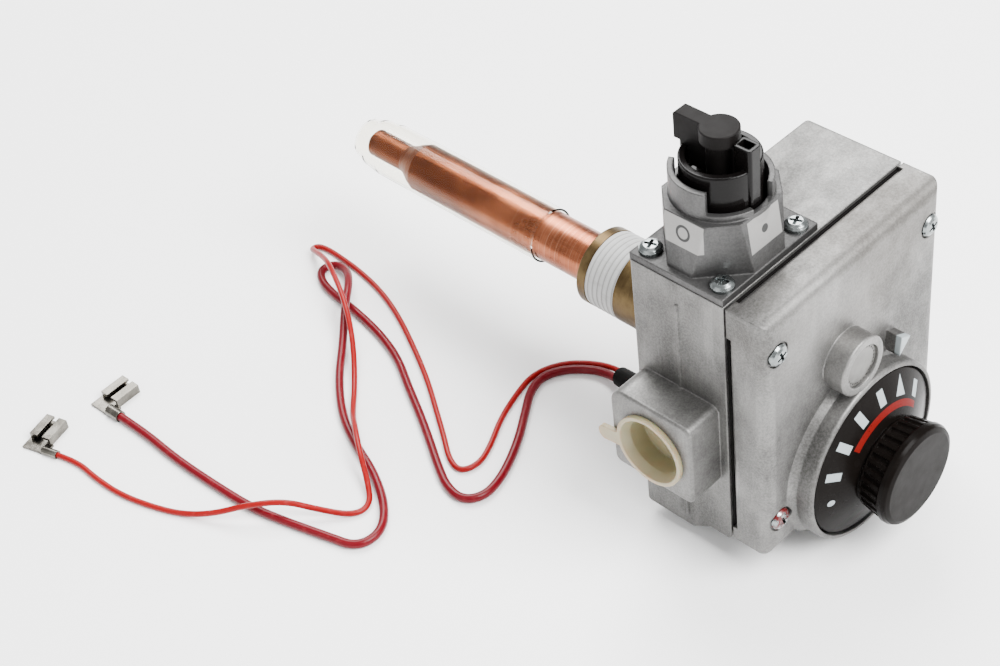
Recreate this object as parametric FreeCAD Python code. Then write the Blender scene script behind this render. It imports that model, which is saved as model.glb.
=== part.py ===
"""Combination gas control for a storage water heater, with its temperature probe and leads.

Frame: millimetres, +Z up. The origin is on the shank's axis, in the plane of the casting's
back face. -Y faces the person who turns the dial, +Y runs along the probe into the tank, and
-X is the side of the gas inlet.
"""
import FreeCAD, Part

import math
import os

from FreeCAD import Vector

X, Y, Z = Vector(1, 0, 0), Vector(0, 1, 0), Vector(0, 0, 1)

# ---------------------------------------------------------------- overall casting
BODY_WIDTH = 80.0
BODY_TOP = 56.3            # height of the top face above the shank's axis
BODY_DEPTH = 34.0          # casting alone, gasket face to back face
BODY_BOTTOM = -42.7
BODY_STEP_BOTTOM = -37.2   # underside of the thinner front part
BODY_STEP_DEPTH = 17.5     # depth of the lower back part
BODY_SLOPE = 8.5           # slope from the lower part up to the front part
COVER_DEPTH = 14.5
COVER_BOTTOM = -35.7
COVER_WALL = 3.0
COVER_GAP = 1.6            # open joint between cover and casting on two sides
GASKET_THICKNESS = 0.8
FLOOR = -47.3              # what the dial ring and the port bosses stand on

# ---------------------------------------------------------------- clearances
RUNNING = 0.06             # radial, shaft in bore
CLEAR = 0.35               # between pieces that move past each other
SLIP = 0.1                 # loose push fits

# ---------------------------------------------------------------- gas cock, knob and collar
KNOB_FROM_LEFT = 20.8      # knob axis from the casting's left face
KNOB_Y = -17.0
COLLAR_PLATE = 2.4
COLLAR_BORE_R = 12.9
COLLAR_WALL = 1.7
COLLAR_LOW = 21.5          # heights above the casting's top face
COLLAR_PATCH_TOP = 19.6
COLLAR_LEFT = 28.5
COLLAR_RIGHT = 25.0
COLLAR_BASE_X = 18.9       # half sizes of the tapered block at its foot and head
COLLAR_BASE_Y = 16.7
COLLAR_HEAD_X = 15.7
COLLAR_HEAD_Y = 14.0
COLLAR_CORNER = 16.2       # corner cut, distance from the knob's axis
KNOB_R = 11.6
KNOB_RIM = 32.0
KNOB_FLOOR = 24.0
KNOB_WALL = 2.0
KNOB_WING_R = 12.3
KNOB_WING_TOP = 39.0
WING_THICK = 4.7
BUTTON_R = 5.7
BUTTON_TOP = 41.0
BUTTON_HEAD = 4.0
BUTTON_NECK_R = 4.0
BUTTON_WING_R = 14.4
BUTTON_TRAVEL = 3.5
STEM_R = 2.5
ROTOR_NECK_R = 5.0
ROTOR_TOP_R = 9.5
ROTOR_BOTTOM_R = 8.3
ROTOR_LENGTH = 18.0
ROTOR_SINK = 8.0           # rotor's top face below the casting's top face
ROTOR_NECK = 10.0          # top of its neck above the casting's top face
ROTOR_PORT_R = 2.4
GAS_WAY_R = 3.5            # cross passage from the rotor's side port
GAS_WAY_Y = -20.0
GAS_WAY_Z = 36.0

# ---------------------------------------------------------------- safety valve column
CHAMBER_R = 11.0
CHAMBER_TOP = 16.0         # underside of the safety valve's seat
CHAMBER_BOTTOM = -24.0
SEAT_HOLE_R = 5.2
SAFETY_DISC_R = 8.0
SAFETY_DISC = 3.0
SAFETY_STEM_R = 1.6
SAFETY_STEM_BOTTOM = -1.5
MAGNET_R = 9.0
ARMATURE_R = 5.5
ARMATURE = 1.5

# ---------------------------------------------------------------- ports
INLET_Y = -15.6
INLET_R = 10.3
INLET_MOUTH_R = 10.9
INLET_MOUTH = 9.0
INLET_THREAD = 10.0
INLET_BOSS_OUT = 12.7
INLET_BOSS_LOW = -13.8
INLET_BOSS_HIGH = 16.5
INLET_BOSS_FRONT = -30.9
PLUG_FLANGE_R = 12.1
PLUG_FLANGE = 1.5
PLUG_WALL = 1.4
PLUG_DEPTH = 8.4
PLUG_FLARE = 3.0           # depth of the widened mouth of its hollow
PLUG_TAB = 7.6
PLUG_TAB_WIDTH = 5.0
OUTLET_Y = -14.5
OUTLET_R = 8.57
OUTLET_BOSS_R = 13.4
OUTLET_THREAD = 14.0
SIDE_BOSS_R = 7.4
THERMO_R = 4.37
THERMO_THREAD = 13.0
PILOT_R = 5.55
PILOT_THREAD = 11.0
PILOT_FROM_RIGHT = 18.0

# ---------------------------------------------------------------- temperature dial and regulator
DIAL_Z = -17.5
RING_R = 29.8
RING_LIP = 7.3             # ring's lip in front of the cover's face
RING_BORE_R = 28.3
RING_BACK = 5.0            # ring's bore behind the lip
DIAL_R = 27.9
DIAL_EDGE = 6.9            # rim of the dial in front of the cover's face
DIAL_CONE = 5.6            # how far the skirt rises towards the grip
DIAL_HUB_R = 14.2
GRIP_R = 16.6
GRIP_FRONT = 24.0
GRIP_BAND = 3.2            # smooth rim in front of the flutes
GRIP_FLUTES = 30
FLUTE_R = 1.0
ADJUSTER_R = 4.0
REG_X = -5.5
REG_Z = 21.4
REG_R = 9.6
REG_OUT = 7.0
REG_BORE_R = 7.0
REG_LIFT = 1.0
POINTER_ANGLE = 27.0       # clockwise from straight up, seen from the front
POINTER_NEAR = 30.9        # distance of the pointer's tip from the dial's axis
POINTER_LONG = 6.4
POINTER_WIDE = 4.8
POINTER_OUT = 5.6

# ---------------------------------------------------------------- thermostat
THERMO_ROOM_X = (-8.0, 24.0)
THERMO_ROOM_Z = (-26.0, 14.0)
VALVE_SEAT_Y = -14.0
VALVE_PORT_R = 5.0
VALVE_R = 7.6
VALVE_LIFT = 1.2
LEVER_Y = -28.4            # lever's back face
LEVER_THICK = 1.6
LEVER_PIVOT_Z = -7.5
LEVER_WIDTH = 8.0
LEVER_PIN_R = 1.2
SNAP_DISC_R = 9.0
SNAP_DISC_Y = -7.6

# ---------------------------------------------------------------- shank and probe
SHANK_R = 13.33
SHANK_LENGTH = 50.8
SHANK_END_BAND = 3.6
SHANK_BORE_R = 8.6
SPIGOT_R = 11.0
SPIGOT_LENGTH = 6.0
TAPE_LENGTH = 12.0
TAPE_TURNS = 6
TAPE_THICK = 0.5
PROBE_R = 8.55
PROBE_WALL = 0.8
PROBE_STRAIGHT = 134.0     # end of the full-width tube
PROBE_TIP = 160.1
PROBE_TIP_R = 4.9
ROD_R = 3.0
CAP_START = 74.4
CAP_END = 164.5
CAP_WALL = 0.7
CAP_R = 9.6

# ---------------------------------------------------------------- leads
THICK_D = 3.0
THIN_D = 2.0
BOOT_START = Vector(-12.0, 0, -33.0)
BOOT_END = Vector(-3.5, 44.0, -43.7)
BOOT_R0 = 5.0
BOOT_R1 = 3.4
BOOT_RUN = 6.0             # the leads' straight run out of the boot

# ---------------------------------------------------------------- screws
SCREW_HEAD_R = 3.5
SCREW_HEAD = 2.2
SCREW_R = 1.9
COVER_SCREW_INSET = 5.5

LEFT = -BODY_WIDTH / 2
RIGHT = BODY_WIDTH / 2
COVER_BACK = -BODY_DEPTH - GASKET_THICKNESS
COVER_FACE = -BODY_DEPTH - COVER_DEPTH
KNOB_X = LEFT + KNOB_FROM_LEFT
PILOT_X = RIGHT - PILOT_FROM_RIGHT
INLET_FACE = LEFT - INLET_BOSS_OUT


# ================================================================ helpers
def box(x, y, z):
    """Box between two x, two y and two z values."""
    return Part.makeBox(x[1] - x[0], y[1] - y[0], z[1] - z[0], Vector(x[0], y[0], z[0]))


def rod(radius, start, axis, length):
    """Cylinder from start along axis."""
    return Part.makeCylinder(radius, length, start, axis)


def sleeve(outer, inner, start, axis, length):
    """Tube from start along axis."""
    return rod(outer, start, axis, length).cut(rod(inner, start, axis, length))


def taper(radius0, radius1, start, axis, length):
    """Cone from start along axis."""
    return Part.makeCone(radius0, radius1, length, start, axis)


def prism(points, along):
    """Solid swept from a closed outline."""
    wire = Part.makePolygon(points + [points[0]])
    return Part.Face(wire).extrude(along)


def lathe(profile, centre, axis):
    """Solid turned about an axis from (radius, height) points."""
    side = X if abs(axis.dot(X)) < 0.9 else Y
    points = [centre + side * radius + axis * height for radius, height in profile]
    wire = Part.makePolygon(points + [points[0]])
    return Part.Face(wire).revolve(centre, axis, 360)


def soften(shape, radius, chosen):
    """Round the edges that the test accepts."""
    edges = [edge for edge in shape.Edges if chosen(edge)]
    return shape.makeFillet(radius, edges) if edges else shape


def along(edge, axis):
    """True for a straight edge in the direction of axis."""
    if not isinstance(edge.Curve, Part.Line):
        return False
    return abs(edge.Curve.Direction.dot(axis)) > 0.999


def union(shapes):
    """One solid from shapes that meet."""
    result = shapes[0]
    if len(shapes) > 1:
        result = result.fuse(shapes[1:])
    return result.removeSplitter()


def coil_spring(radius, wire, start, axis, length, turns):
    """Compression spring with its ends inside the given length."""
    pitch = (length - wire) / turns
    helix = Part.makeHelix(pitch, length - wire, radius)
    circle = Part.Wire(Part.makeCircle(wire / 2, Vector(radius, 0, 0), Y))
    spring = Part.Wire(helix).makePipeShell([circle], True, True)
    spring.translate(Z * (wire / 2))
    if abs(axis.dot(Z)) < 0.9:
        spring.rotate(Vector(), Z.cross(axis), 90)
    spring.translate(start)
    return spring


def pan_screw(seat, axis, length):
    """Pan head screw with a cross recess; seat is under the head and axis points out of it."""
    head = lathe([(0, -0.1), (SCREW_HEAD_R, -0.1), (SCREW_HEAD_R, 0.9), (SCREW_HEAD_R - 0.5, 1.6),
                  (SCREW_HEAD_R - 1.4, SCREW_HEAD - 0.1), (0, SCREW_HEAD)], seat + axis * 0.1, axis)
    for turn in (0, 90):
        slot = Part.makeBox(3.8, 0.9, 1.4, Vector(-1.9, -0.45, 0))
        slot.rotate(Vector(), Z, turn + 20)
        if abs(axis.dot(Z)) < 0.9:
            slot.rotate(Vector(), X, 90)
        slot.translate(seat + axis * (SCREW_HEAD - 1.3))
        head = head.cut(slot)
    shank = rod(SCREW_R, seat - axis * length, axis, length + 0.05)
    return union([head, shank])


parts = {}


def keep(name, shape):
    """Store a sub-part under its node name."""
    parts[name] = shape


# ================================================================ casting
def cover_screw_seats():
    """Centres of the four cover screws on the cover's face."""
    x_side = BODY_WIDTH / 2 - COVER_SCREW_INSET
    heights = (BODY_TOP - 13.0, COVER_BOTTOM + 13.0)
    return [Vector(x, COVER_FACE, z) for x in (-x_side, x_side) for z in heights]


def collar_screw_seats():
    """Centres of the four collar screws on top of the collar's plate."""
    z = BODY_TOP + COLLAR_PLATE
    offsets = [(-15.9, -12.9), (-16.2, 12.6), (15.9, -12.9), (15.9, 12.6)]
    return [Vector(KNOB_X + dx, KNOB_Y + dy, z) for dx, dy in offsets]


def build_main_body():
    """Aluminium casting with inlet boss, port bosses and gas passages."""
    back = box((LEFT, RIGHT), (-BODY_STEP_DEPTH, 0), (BODY_BOTTOM, BODY_TOP))
    front = box((LEFT, RIGHT), (-BODY_DEPTH, 0), (BODY_STEP_BOTTOM, BODY_TOP))
    slope = prism([Vector(LEFT, -BODY_STEP_DEPTH, BODY_BOTTOM),
                   Vector(LEFT, -BODY_STEP_DEPTH - BODY_SLOPE, BODY_STEP_BOTTOM),
                   Vector(LEFT, -BODY_STEP_DEPTH, BODY_STEP_BOTTOM)], X * BODY_WIDTH)
    body = union([back, front, slope])
    body = soften(body, 1.6, lambda e: along(e, X) and e.CenterOfMass.z < BODY_STEP_BOTTOM + 0.1
                  and (e.CenterOfMass.y > -0.1 or e.CenterOfMass.y < -BODY_DEPTH + 0.1))
    boss = box((INLET_FACE, LEFT + 1), (INLET_BOSS_FRONT, -0.5), (INLET_BOSS_LOW, INLET_BOSS_HIGH))
    boss = soften(boss, 2.5, lambda e: along(e, X) and e.CenterOfMass.y < -15)
    boss = soften(boss, 5.5, lambda e: along(e, X) and e.CenterOfMass.y > -15 and e.CenterOfMass.z > 0)
    boss = soften(boss, 2.5, lambda e: along(e, X) and e.CenterOfMass.y > -2 and e.CenterOfMass.z < 0)
    boss = soften(boss, 1.0, lambda e: abs(e.CenterOfMass.x - INLET_FACE) < 0.01)
    rib = box((LEFT - 0.4, LEFT + 1), (-BODY_STEP_DEPTH, -BODY_STEP_DEPTH + 0.9),
              (BODY_STEP_BOTTOM, BODY_TOP - 8))
    ports = [rod(OUTLET_BOSS_R, Vector(0, OUTLET_Y, FLOOR), Z, BODY_BOTTOM - FLOOR + 8)]
    for x in (KNOB_X, PILOT_X):
        ports.append(rod(SIDE_BOSS_R, Vector(x, KNOB_Y, FLOOR), Z, BODY_BOTTOM - FLOOR + 8))
    body = union([body, boss, rib] + ports)
    cuts = [
        # inlet
        rod(INLET_MOUTH_R, Vector(INLET_FACE - 1, INLET_Y, 0), X, INLET_MOUTH + 1),
        rod(INLET_R, Vector(INLET_FACE, INLET_Y, 0), X, INLET_MOUTH + INLET_THREAD),
        rod(7.0, Vector(INLET_FACE, INLET_Y, 0), X, KNOB_X - INLET_FACE),
        # safety chamber, seat hole and taper bore of the gas cock
        rod(CHAMBER_R, Vector(KNOB_X, KNOB_Y, CHAMBER_BOTTOM), Z, CHAMBER_TOP - CHAMBER_BOTTOM),
        rod(SEAT_HOLE_R, Vector(KNOB_X, KNOB_Y, CHAMBER_TOP - 1), Z, BODY_TOP - CHAMBER_TOP),
        taper(ROTOR_BOTTOM_R + RUNNING, ROTOR_TOP_R + RUNNING,
              Vector(KNOB_X, KNOB_Y, BODY_TOP - ROTOR_SINK - ROTOR_LENGTH), Z, ROTOR_LENGTH),
        rod(ROTOR_TOP_R + CLEAR, Vector(KNOB_X, KNOB_Y, BODY_TOP - ROTOR_SINK), Z, ROTOR_SINK + 1),
        # thermocouple port
        rod(THERMO_R, Vector(KNOB_X, KNOB_Y, FLOOR - 1), Z, THERMO_THREAD + 1),
        rod(3.0, Vector(KNOB_X, KNOB_Y, FLOOR), Z, CHAMBER_BOTTOM - FLOOR + 1),
        # pilot port and its feed
        rod(PILOT_R, Vector(PILOT_X, KNOB_Y, FLOOR - 1), Z, PILOT_THREAD + 1),
        rod(1.6, Vector(PILOT_X, KNOB_Y, FLOOR), Z, PILOT_THREAD + 20),
        # main outlet
        rod(OUTLET_R, Vector(0, OUTLET_Y, FLOOR - 1), Z, OUTLET_THREAD + 1),
        rod(6.0, Vector(0, OUTLET_Y, FLOOR), Z, OUTLET_THREAD + 14),
        # spigot bore of the shank and the thermostat chamber in front of it
        rod(SPIGOT_R, Vector(0, -SPIGOT_LENGTH, 0), Y, SPIGOT_LENGTH + 1),
        rod(9.6, Vector(0, -SPIGOT_LENGTH - 2.5, 0), Y, 4),
        rod(VALVE_PORT_R, Vector(0, -20.0, 0), Y, 14),
        box(THERMO_ROOM_X, (-BODY_DEPTH - 1, VALVE_SEAT_Y), THERMO_ROOM_Z),
        # regulator valve hole up to the cover
        rod(3.2, Vector(REG_X, -BODY_DEPTH - 1, REG_Z), Y, 15),
        # gas way from the cock to the thermostat chamber
        rod(GAS_WAY_R, Vector(KNOB_X, GAS_WAY_Y, GAS_WAY_Z), X, 22),
        rod(GAS_WAY_R, Vector(KNOB_X + 22, GAS_WAY_Y, 10.0), Z, GAS_WAY_Z - 7.0),
        # socket of the lead boot
        rod(BOOT_R0, BOOT_START - Y * 4.0, Y, 5),
    ]
    for seat in cover_screw_seats():
        cuts.append(rod(SCREW_R, Vector(seat.x, -BODY_DEPTH - 1, seat.z), Y, 10))
    for seat in collar_screw_seats():
        cuts.append(rod(SCREW_R, Vector(seat.x, seat.y, BODY_TOP - 8), Z, 9))
    body = body.cut(cuts)
    body = soften(body, 1.2, lambda e: along(e, Z) and abs(abs(e.CenterOfMass.x) - RIGHT) < 0.01
                  and abs(e.CenterOfMass.y) < 0.01)
    keep("main_body", body)


def build_gasket():
    """Flat gasket between casting and cover."""
    outline = box((LEFT + 1.2, RIGHT - 1.2), (-BODY_DEPTH - GASKET_THICKNESS, -BODY_DEPTH),
                  (COVER_BOTTOM + 1.2, BODY_TOP - 1.2))
    cuts = [box(THERMO_ROOM_X, (-BODY_DEPTH - 2, -BODY_DEPTH + 1), THERMO_ROOM_Z),
            rod(6.0, Vector(REG_X, -BODY_DEPTH - 2, REG_Z), Y, 4)]
    for seat in cover_screw_seats():
        cuts.append(rod(SCREW_R + 0.2, Vector(seat.x, -BODY_DEPTH - 2, seat.z), Y, 4))
    keep("cover_gasket", outline.cut(cuts))


def build_front_cover():
    """Cast cover with the dial ring, the regulator boss and the pointer."""
    shell = box((LEFT, RIGHT), (COVER_FACE, COVER_BACK), (COVER_BOTTOM, BODY_TOP))
    shell = soften(shell, 4.0, lambda e: abs(e.CenterOfMass.y - COVER_FACE) < 0.01)
    dial_axis = Vector(0, COVER_FACE, DIAL_Z)
    ring = rod(RING_R, dial_axis - Y * RING_LIP, Y, RING_LIP + 2.5)
    flare = taper(RING_R, RING_R + 2.0, dial_axis - Y * 2.0, Y, 2.0)
    flare = flare.common(box((-50, 50), (COVER_FACE - 3, COVER_BACK), (COVER_BOTTOM + 1, 60)))
    ring = soften(ring, 1.0, lambda e: abs(e.CenterOfMass.y - COVER_FACE + RING_LIP) < 0.01)
    boss = rod(REG_R, Vector(REG_X, COVER_FACE - REG_OUT, REG_Z), Y, REG_OUT + COVER_DEPTH - 2)
    boss = soften(boss, 0.6, lambda e: abs(e.CenterOfMass.y - COVER_FACE + REG_OUT) < 0.01)
    hub = rod(9.0, dial_axis, Y, COVER_BACK - COVER_FACE)
    tip = math.radians(POINTER_ANGLE)
    radial = Vector(math.sin(tip), 0, math.cos(tip))
    point = dial_axis + radial * POINTER_NEAR
    wide = Vector(math.cos(tip), 0, -math.sin(tip)) * (POINTER_WIDE / 2)
    outline = [point, point + radial * POINTER_LONG + wide, point + radial * POINTER_LONG - wide]
    pointer = prism([corner - Y * POINTER_OUT for corner in outline], Y * (POINTER_OUT + 2))
    inner_x = (LEFT + COVER_WALL, RIGHT - COVER_WALL)
    inner_z = (COVER_BOTTOM + COVER_WALL, BODY_TOP - COVER_WALL)
    hollow = box(inner_x, (COVER_FACE + COVER_WALL, COVER_BACK + 1), inner_z)
    hollow = hollow.cut([rod(REG_R, Vector(REG_X, COVER_FACE, REG_Z), Y, COVER_DEPTH), hub])
    for seat in cover_screw_seats():
        hollow = hollow.cut(rod(5.0, seat, Y, COVER_DEPTH))
    cover = shell.cut(hollow)
    cover = union([cover, ring, flare, boss, pointer])
    cuts = [
        # recess for the dial's skirt, and the adjuster's bore
        rod(RING_BORE_R, dial_axis - Y * (RING_LIP + 1), Y, 1 + RING_BACK),
        rod(ADJUSTER_R + RUNNING, dial_axis - Y * 10, Y, 30),
        # regulator bore
        rod(REG_BORE_R, Vector(REG_X, COVER_FACE - REG_OUT - 1, REG_Z), Y, REG_OUT + COVER_DEPTH + 2),
        # gap along the joint with the casting, on the top and the left side
        box((LEFT + 4.3, RIGHT - 2.4), (COVER_BACK - COVER_GAP, COVER_BACK + 1), (BODY_TOP - 1.6, BODY_TOP + 1)),
        box((LEFT - 1, LEFT + 1.6), (COVER_BACK - COVER_GAP, COVER_BACK + 1), (COVER_BOTTOM + 4.7, BODY_TOP - 10.5)),
    ]
    for seat in cover_screw_seats():
        cuts.append(rod(SCREW_HEAD_R + 0.6, seat - Y, Y, 2.0))
        cuts.append(rod(SCREW_R + 0.2, seat, Y, COVER_DEPTH))
    keep("front_cover", cover.cut(cuts))


def build_screws():
    """Four cover screws and four collar screws."""
    cover = [pan_screw(seat + Y, -Y, COVER_DEPTH - 1 + 8) for seat in cover_screw_seats()]
    collar = [pan_screw(seat, Z, COLLAR_PLATE + 7) for seat in collar_screw_seats()]
    keep("cover_screws", Part.makeCompound(cover))
    keep("collar_screws", Part.makeCompound(collar))


# ================================================================ gas cock and collar
def sector(angle0, angle1, radius, z0, z1):
    """Wedge about the knob's axis between two angles, counter-clockwise from +X."""
    steps = max(2, int(abs(angle1 - angle0) / 20) + 1)
    points = [Vector(KNOB_X, KNOB_Y, z0)]
    for step in range(steps + 1):
        angle = math.radians(angle0 + (angle1 - angle0) * step / steps)
        points.append(Vector(KNOB_X + radius * math.cos(angle), KNOB_Y + radius * math.sin(angle), z0))
    return prism(points, Z * (z1 - z0))


def rectangle(half_x, half_y, z):
    """Closed wire centred on the knob's axis."""
    corners = [(-half_x, -half_y), (half_x, -half_y), (half_x, half_y), (-half_x, half_y)]
    points = [Vector(KNOB_X + dx, KNOB_Y + dy, z) for dx, dy in corners]
    return Part.makePolygon(points + [points[0]])


def build_knob_collar():
    """Die-cast collar round the knob: plate, tapered block with cut corners, stepped wall."""
    foot = BODY_TOP + COLLAR_PLATE
    plate = box((LEFT + 0.2, KNOB_X + 20.6), (-BODY_DEPTH + 0.2, -0.3), (BODY_TOP, foot))
    block = Part.makeLoft([rectangle(COLLAR_BASE_X, COLLAR_BASE_Y, BODY_TOP + 1),
                           rectangle(COLLAR_HEAD_X, COLLAR_HEAD_Y, BODY_TOP + COLLAR_PATCH_TOP)], True, True)
    corner = Part.makeBox(2 * COLLAR_CORNER, 2 * COLLAR_CORNER, 30,
                          Vector(-COLLAR_CORNER, -COLLAR_CORNER, BODY_TOP))
    corner.rotate(Vector(), Z, 45)
    corner.translate(Vector(KNOB_X, KNOB_Y, 0))
    block = block.common(corner)
    outer = COLLAR_BORE_R + COLLAR_WALL
    wall = rod(outer, Vector(KNOB_X, KNOB_Y, BODY_TOP + 1), Z, COLLAR_LEFT - 1)
    top = BODY_TOP + COLLAR_LEFT + 1
    heights = [(203, 256, COLLAR_LOW), (256, 292, COLLAR_PATCH_TOP + 0.3), (292, 425, COLLAR_RIGHT),
               (65, 115, COLLAR_LOW)]
    for angle0, angle1, height in heights:
        wall = wall.cut(sector(angle0, angle1, 30, BODY_TOP + height, top))
    collar = union([plate, block, wall])
    cuts = [rod(COLLAR_BORE_R, Vector(KNOB_X, KNOB_Y, foot), Z, COLLAR_LEFT),
            rod(ROTOR_NECK_R + RUNNING, Vector(KNOB_X, KNOB_Y, BODY_TOP - 1), Z, COLLAR_PLATE + 2)]
    for seat in collar_screw_seats():
        cuts.append(rod(SCREW_R + 0.2, seat - Z * (COLLAR_PLATE + 1), Z, COLLAR_PLATE + 2))
        cuts.append(rod(SCREW_HEAD_R + 0.3, seat, Z, 25))
    keep("knob_collar", collar.cut(cuts))


def build_gas_cock():
    """Taper rotor, its spring and stem seal, and the glossy knob pressed on its neck."""
    top = BODY_TOP - ROTOR_SINK
    bottom = top - ROTOR_LENGTH
    rotor = union([taper(ROTOR_BOTTOM_R, ROTOR_TOP_R, Vector(KNOB_X, KNOB_Y, bottom), Z, ROTOR_LENGTH),
                   rod(ROTOR_NECK_R, Vector(KNOB_X, KNOB_Y, top - 1), Z, ROTOR_SINK + ROTOR_NECK + 1)])
    rotor = rotor.cut([
        rod(5.6, Vector(KNOB_X, KNOB_Y, bottom - 1), Z, ROTOR_LENGTH - 3),
        rod(STEM_R + RUNNING, Vector(KNOB_X, KNOB_Y, bottom), Z, 60),
        rod(3.8, Vector(KNOB_X, KNOB_Y, BODY_TOP + ROTOR_NECK - 2), Z, 3),
        rod(ROTOR_PORT_R, Vector(KNOB_X, GAS_WAY_Y + 1.4, GAS_WAY_Z), X, 12)])
    keep("gas_cock_rotor", rotor)
    keep("stem_seal", sleeve(3.8, STEM_R + RUNNING, Vector(KNOB_X, KNOB_Y, BODY_TOP + ROTOR_NECK - 2), Z, 1.8))
    keep("gas_cock_spring", coil_spring(7.0, 1.0, Vector(KNOB_X, KNOB_Y, top + CLEAR), Z,
                                        ROTOR_SINK - 2 * CLEAR, 2))
    base = BODY_TOP + COLLAR_PLATE + 0.6
    knob = rod(KNOB_R, Vector(KNOB_X, KNOB_Y, base), Z, BODY_TOP + KNOB_RIM - base)
    knob = soften(knob, 0.5, lambda e: abs(e.CenterOfMass.z - BODY_TOP - KNOB_RIM) < 0.01)
    floor = BODY_TOP + KNOB_FLOOR
    knob = knob.cut(rod(KNOB_R - KNOB_WALL, Vector(KNOB_X, KNOB_Y, floor), Z, 20))
    ring = rod(BUTTON_NECK_R + CLEAR + 0.9, Vector(KNOB_X, KNOB_Y, floor - 1), Z, 3.3)
    wing = box((KNOB_X - WING_THICK / 2, KNOB_X + WING_THICK / 2), (KNOB_Y - KNOB_WING_R, KNOB_Y - 6.3),
               (BODY_TOP + COLLAR_PATCH_TOP + 1.2, BODY_TOP + KNOB_WING_TOP))
    wing = soften(wing, 0.9, lambda e: along(e, Z))
    knob = union([knob, ring, wing])
    half_slot = WING_THICK / 2 + CLEAR
    knob = knob.cut([
        rod(BUTTON_NECK_R + CLEAR, Vector(KNOB_X, KNOB_Y, BODY_TOP + 12), Z, 30),
        rod(STEM_R + CLEAR, Vector(KNOB_X, KNOB_Y, base - 1), Z, 20),
        rod(ROTOR_NECK_R, Vector(KNOB_X, KNOB_Y, base - 1), Z, ROTOR_NECK - COLLAR_PLATE + 0.4),
        box((KNOB_X - half_slot, KNOB_X + half_slot), (KNOB_Y + 2, KNOB_Y + 20),
            (BODY_TOP + 25.5 - BUTTON_TRAVEL - 0.5, BODY_TOP + 50)),
        box((KNOB_X - WING_THICK / 2 + 0.9, KNOB_X + WING_THICK / 2 - 0.9),
            (KNOB_Y - KNOB_WING_R + 1.1, KNOB_Y - 7.2), (BODY_TOP + KNOB_WING_TOP - 2.5, BODY_TOP + 50))])
    keep("gas_cock_knob", knob)


def build_reset_button():
    """Matt button with its wing and long stem, and its return spring."""
    neck_foot = BODY_TOP + KNOB_FLOOR - 2.0
    head = rod(BUTTON_R, Vector(KNOB_X, KNOB_Y, BODY_TOP + BUTTON_TOP - BUTTON_HEAD), Z, BUTTON_HEAD)
    head = soften(head, 0.4, lambda e: abs(e.CenterOfMass.z - BODY_TOP - BUTTON_TOP) < 0.01)
    neck = rod(BUTTON_NECK_R, Vector(KNOB_X, KNOB_Y, neck_foot), Z, BODY_TOP + BUTTON_TOP - 2 - neck_foot)
    across = (KNOB_X - WING_THICK / 2, KNOB_X + WING_THICK / 2)
    step = BODY_TOP + COLLAR_LEFT + BUTTON_TRAVEL + CLEAR
    upper = box(across, (KNOB_Y + 3, KNOB_Y + BUTTON_WING_R), (step, BODY_TOP + BUTTON_TOP))
    upper = soften(upper, 1.0, lambda e: e.CenterOfMass.y > KNOB_Y + BUTTON_WING_R - 0.01 and along(e, X)
                   and e.CenterOfMass.z > step + 1)
    lower = box(across, (KNOB_Y + 3, KNOB_Y + COLLAR_BORE_R - 0.6), (BODY_TOP + 25.5, step + 1))
    stem_foot = CHAMBER_TOP
    stem = rod(STEM_R, Vector(KNOB_X, KNOB_Y, stem_foot), Z, neck_foot + 1 - stem_foot)
    keep("reset_button", union([head, neck, upper, lower, stem]))
    spring_foot = BODY_TOP + 12
    keep("reset_spring", coil_spring(3.4, 0.7, Vector(KNOB_X, KNOB_Y, spring_foot + 0.05), Z,
                                     neck_foot - spring_foot - 0.1, 6))


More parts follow.
